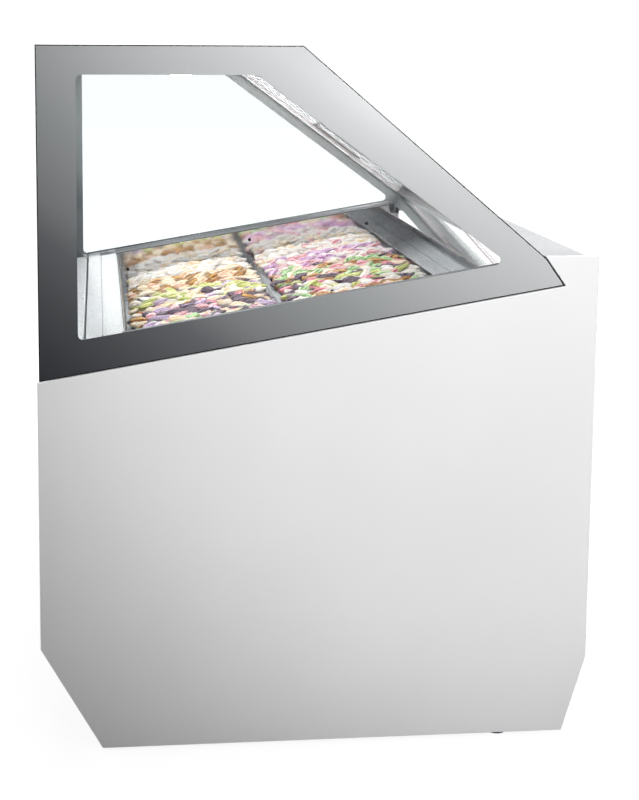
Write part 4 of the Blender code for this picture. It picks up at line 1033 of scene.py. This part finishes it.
# The floor and the background look white but throw little light back, so the panels keep their shading.
# The floor's own glow grows from the feet outwards and leaves a faint shadow round them.
floor_paint = finish("pale studio floor", ("666666", "6a6a6a"), 2.0, (0.7, 0.8), 0.02, 0.0)
tree = floor_paint.node_tree
place = add_node(tree, "TexCoord", {}, {}).outputs["Object"]
reach = add_node(tree, "VectorMath", {"operation": "LENGTH"}, {0: place}).outputs["Value"]
fade = {"Value": reach, "From Min": 1.0, "From Max": 3.0, "To Min": 0.88, "To Max": 1.08}
whiteness = add_node(tree, "MapRange", {}, fade).outputs["Result"]
glow = add_node(tree, "Emission", {}, {"Color": (1, 1, 1, 1), "Strength": whiteness}).outputs["Emission"]
dark = add_node(tree, "Emission", {}, {"Color": (0, 0, 0, 1)}).outputs["Emission"]
seen = add_node(tree, "LightPath", {}, {}).outputs["Is Camera Ray"]
lit = add_node(tree, "MixShader", {}, {"Fac": seen, 1: dark, 2: glow}).outputs["Shader"]
whole = add_node(tree, "AddShader", {}, {0: tree.nodes["Principled BSDF"].outputs["BSDF"], 1: lit})
tree.links.new(whole.outputs["Shader"], tree.nodes["Material Output"].inputs["Surface"])
painted(floor, floor_paint)

world = bpy.data.worlds.new("studio")
bpy.context.scene.world = world
world.use_nodes = True
tree = world.node_tree
tree.nodes["Background"].inputs["Color"].default_value = (1, 1, 1, 1)
tree.nodes["Background"].inputs["Strength"].default_value = 0.16
dim = tree.nodes["Background"].outputs["Background"]
bright = add_node(tree, "Background", {}, {"Color": (1, 1, 1, 1), "Strength": 1.08}).outputs["Background"]
seen = add_node(tree, "LightPath", {}, {}).outputs["Is Camera Ray"]
both = add_node(tree, "MixShader", {}, {"Fac": seen, 1: dim, 2: bright})
tree.links.new(both.outputs["Shader"], tree.nodes["World Output"].inputs["Surface"])


def hung_light(lamp, place, target, power):
    """Hangs a lamp at a place, aimed at a target."""
    lamp.energy = power
    obj = bpy.data.objects.new(lamp.name, lamp)
    bpy.context.scene.collection.objects.link(obj)
    obj.location = place
    obj.rotation_euler = (Vector(target) - Vector(place)).to_track_quat("-Z", "Y").to_euler()
    obj.visible_camera = False


def soft_light(name, place, target, size, power):
    """A rectangular soft box."""
    lamp = bpy.data.lights.new(name, "AREA")
    lamp.shape = "RECTANGLE"
    lamp.size, lamp.size_y = size
    hung_light(lamp, place, target, power)


soft_light("high_key", (1.9, 0.2, 2.6), (0.585, 0.1, 1.0), (1.4, 0.8), 9)
soft_light("front_fill", (0.4, -3.2, 2.4), (0, 0, 0.8), (4.0, 3.0), 85)
soft_light("rear_fill", (-1.5, 3.2, 2.4), (0, 0, 0.8), (4.0, 3.0), 70)
soft_light("far_fill", (-3.4, 0.3, 1.5), (0, 0, 0.9), (4.0, 2.8), 52)
soft_light("top", (-0.3, 0, 3.6), (0, 0, 1), (2.2, 2.0), 35)

# The key has a soft cone that is aimed high, so the light fades towards the customer's foot of the cabinet.
key = bpy.data.lights.new("key", "SPOT")
key.spot_size = math.radians(47.6)
key.spot_blend = 0.45
key.shadow_soft_size = 0.3
hung_light(key, (3.4, 0.9, 1.5), (0.585, 0.5, 1.05), 270)

CAMERA_PLACE = (3.385, -0.418, 1.362)
YAW, PITCH, ROLL = (math.radians(angle) for angle in (5.64, 7.52, 0.28))
lens = bpy.data.cameras.new("studio_camera")
lens.lens = 68.59
lens.shift_x, lens.shift_y = 0.09, -0.20
camera = bpy.data.objects.new("studio_camera", lens)
bpy.context.scene.collection.objects.link(camera)
look = Vector((-math.cos(YAW) * math.cos(PITCH), math.sin(YAW) * math.cos(PITCH), -math.sin(PITCH)))
turn = look.to_track_quat("-Z", "Y").to_matrix() @ Matrix.Rotation(ROLL, 3, "Z")
camera.matrix_world = Matrix.Translation(CAMERA_PLACE) @ turn.to_4x4()
bpy.context.scene.camera = camera
bpy.context.scene.view_settings.view_transform = "Standard"
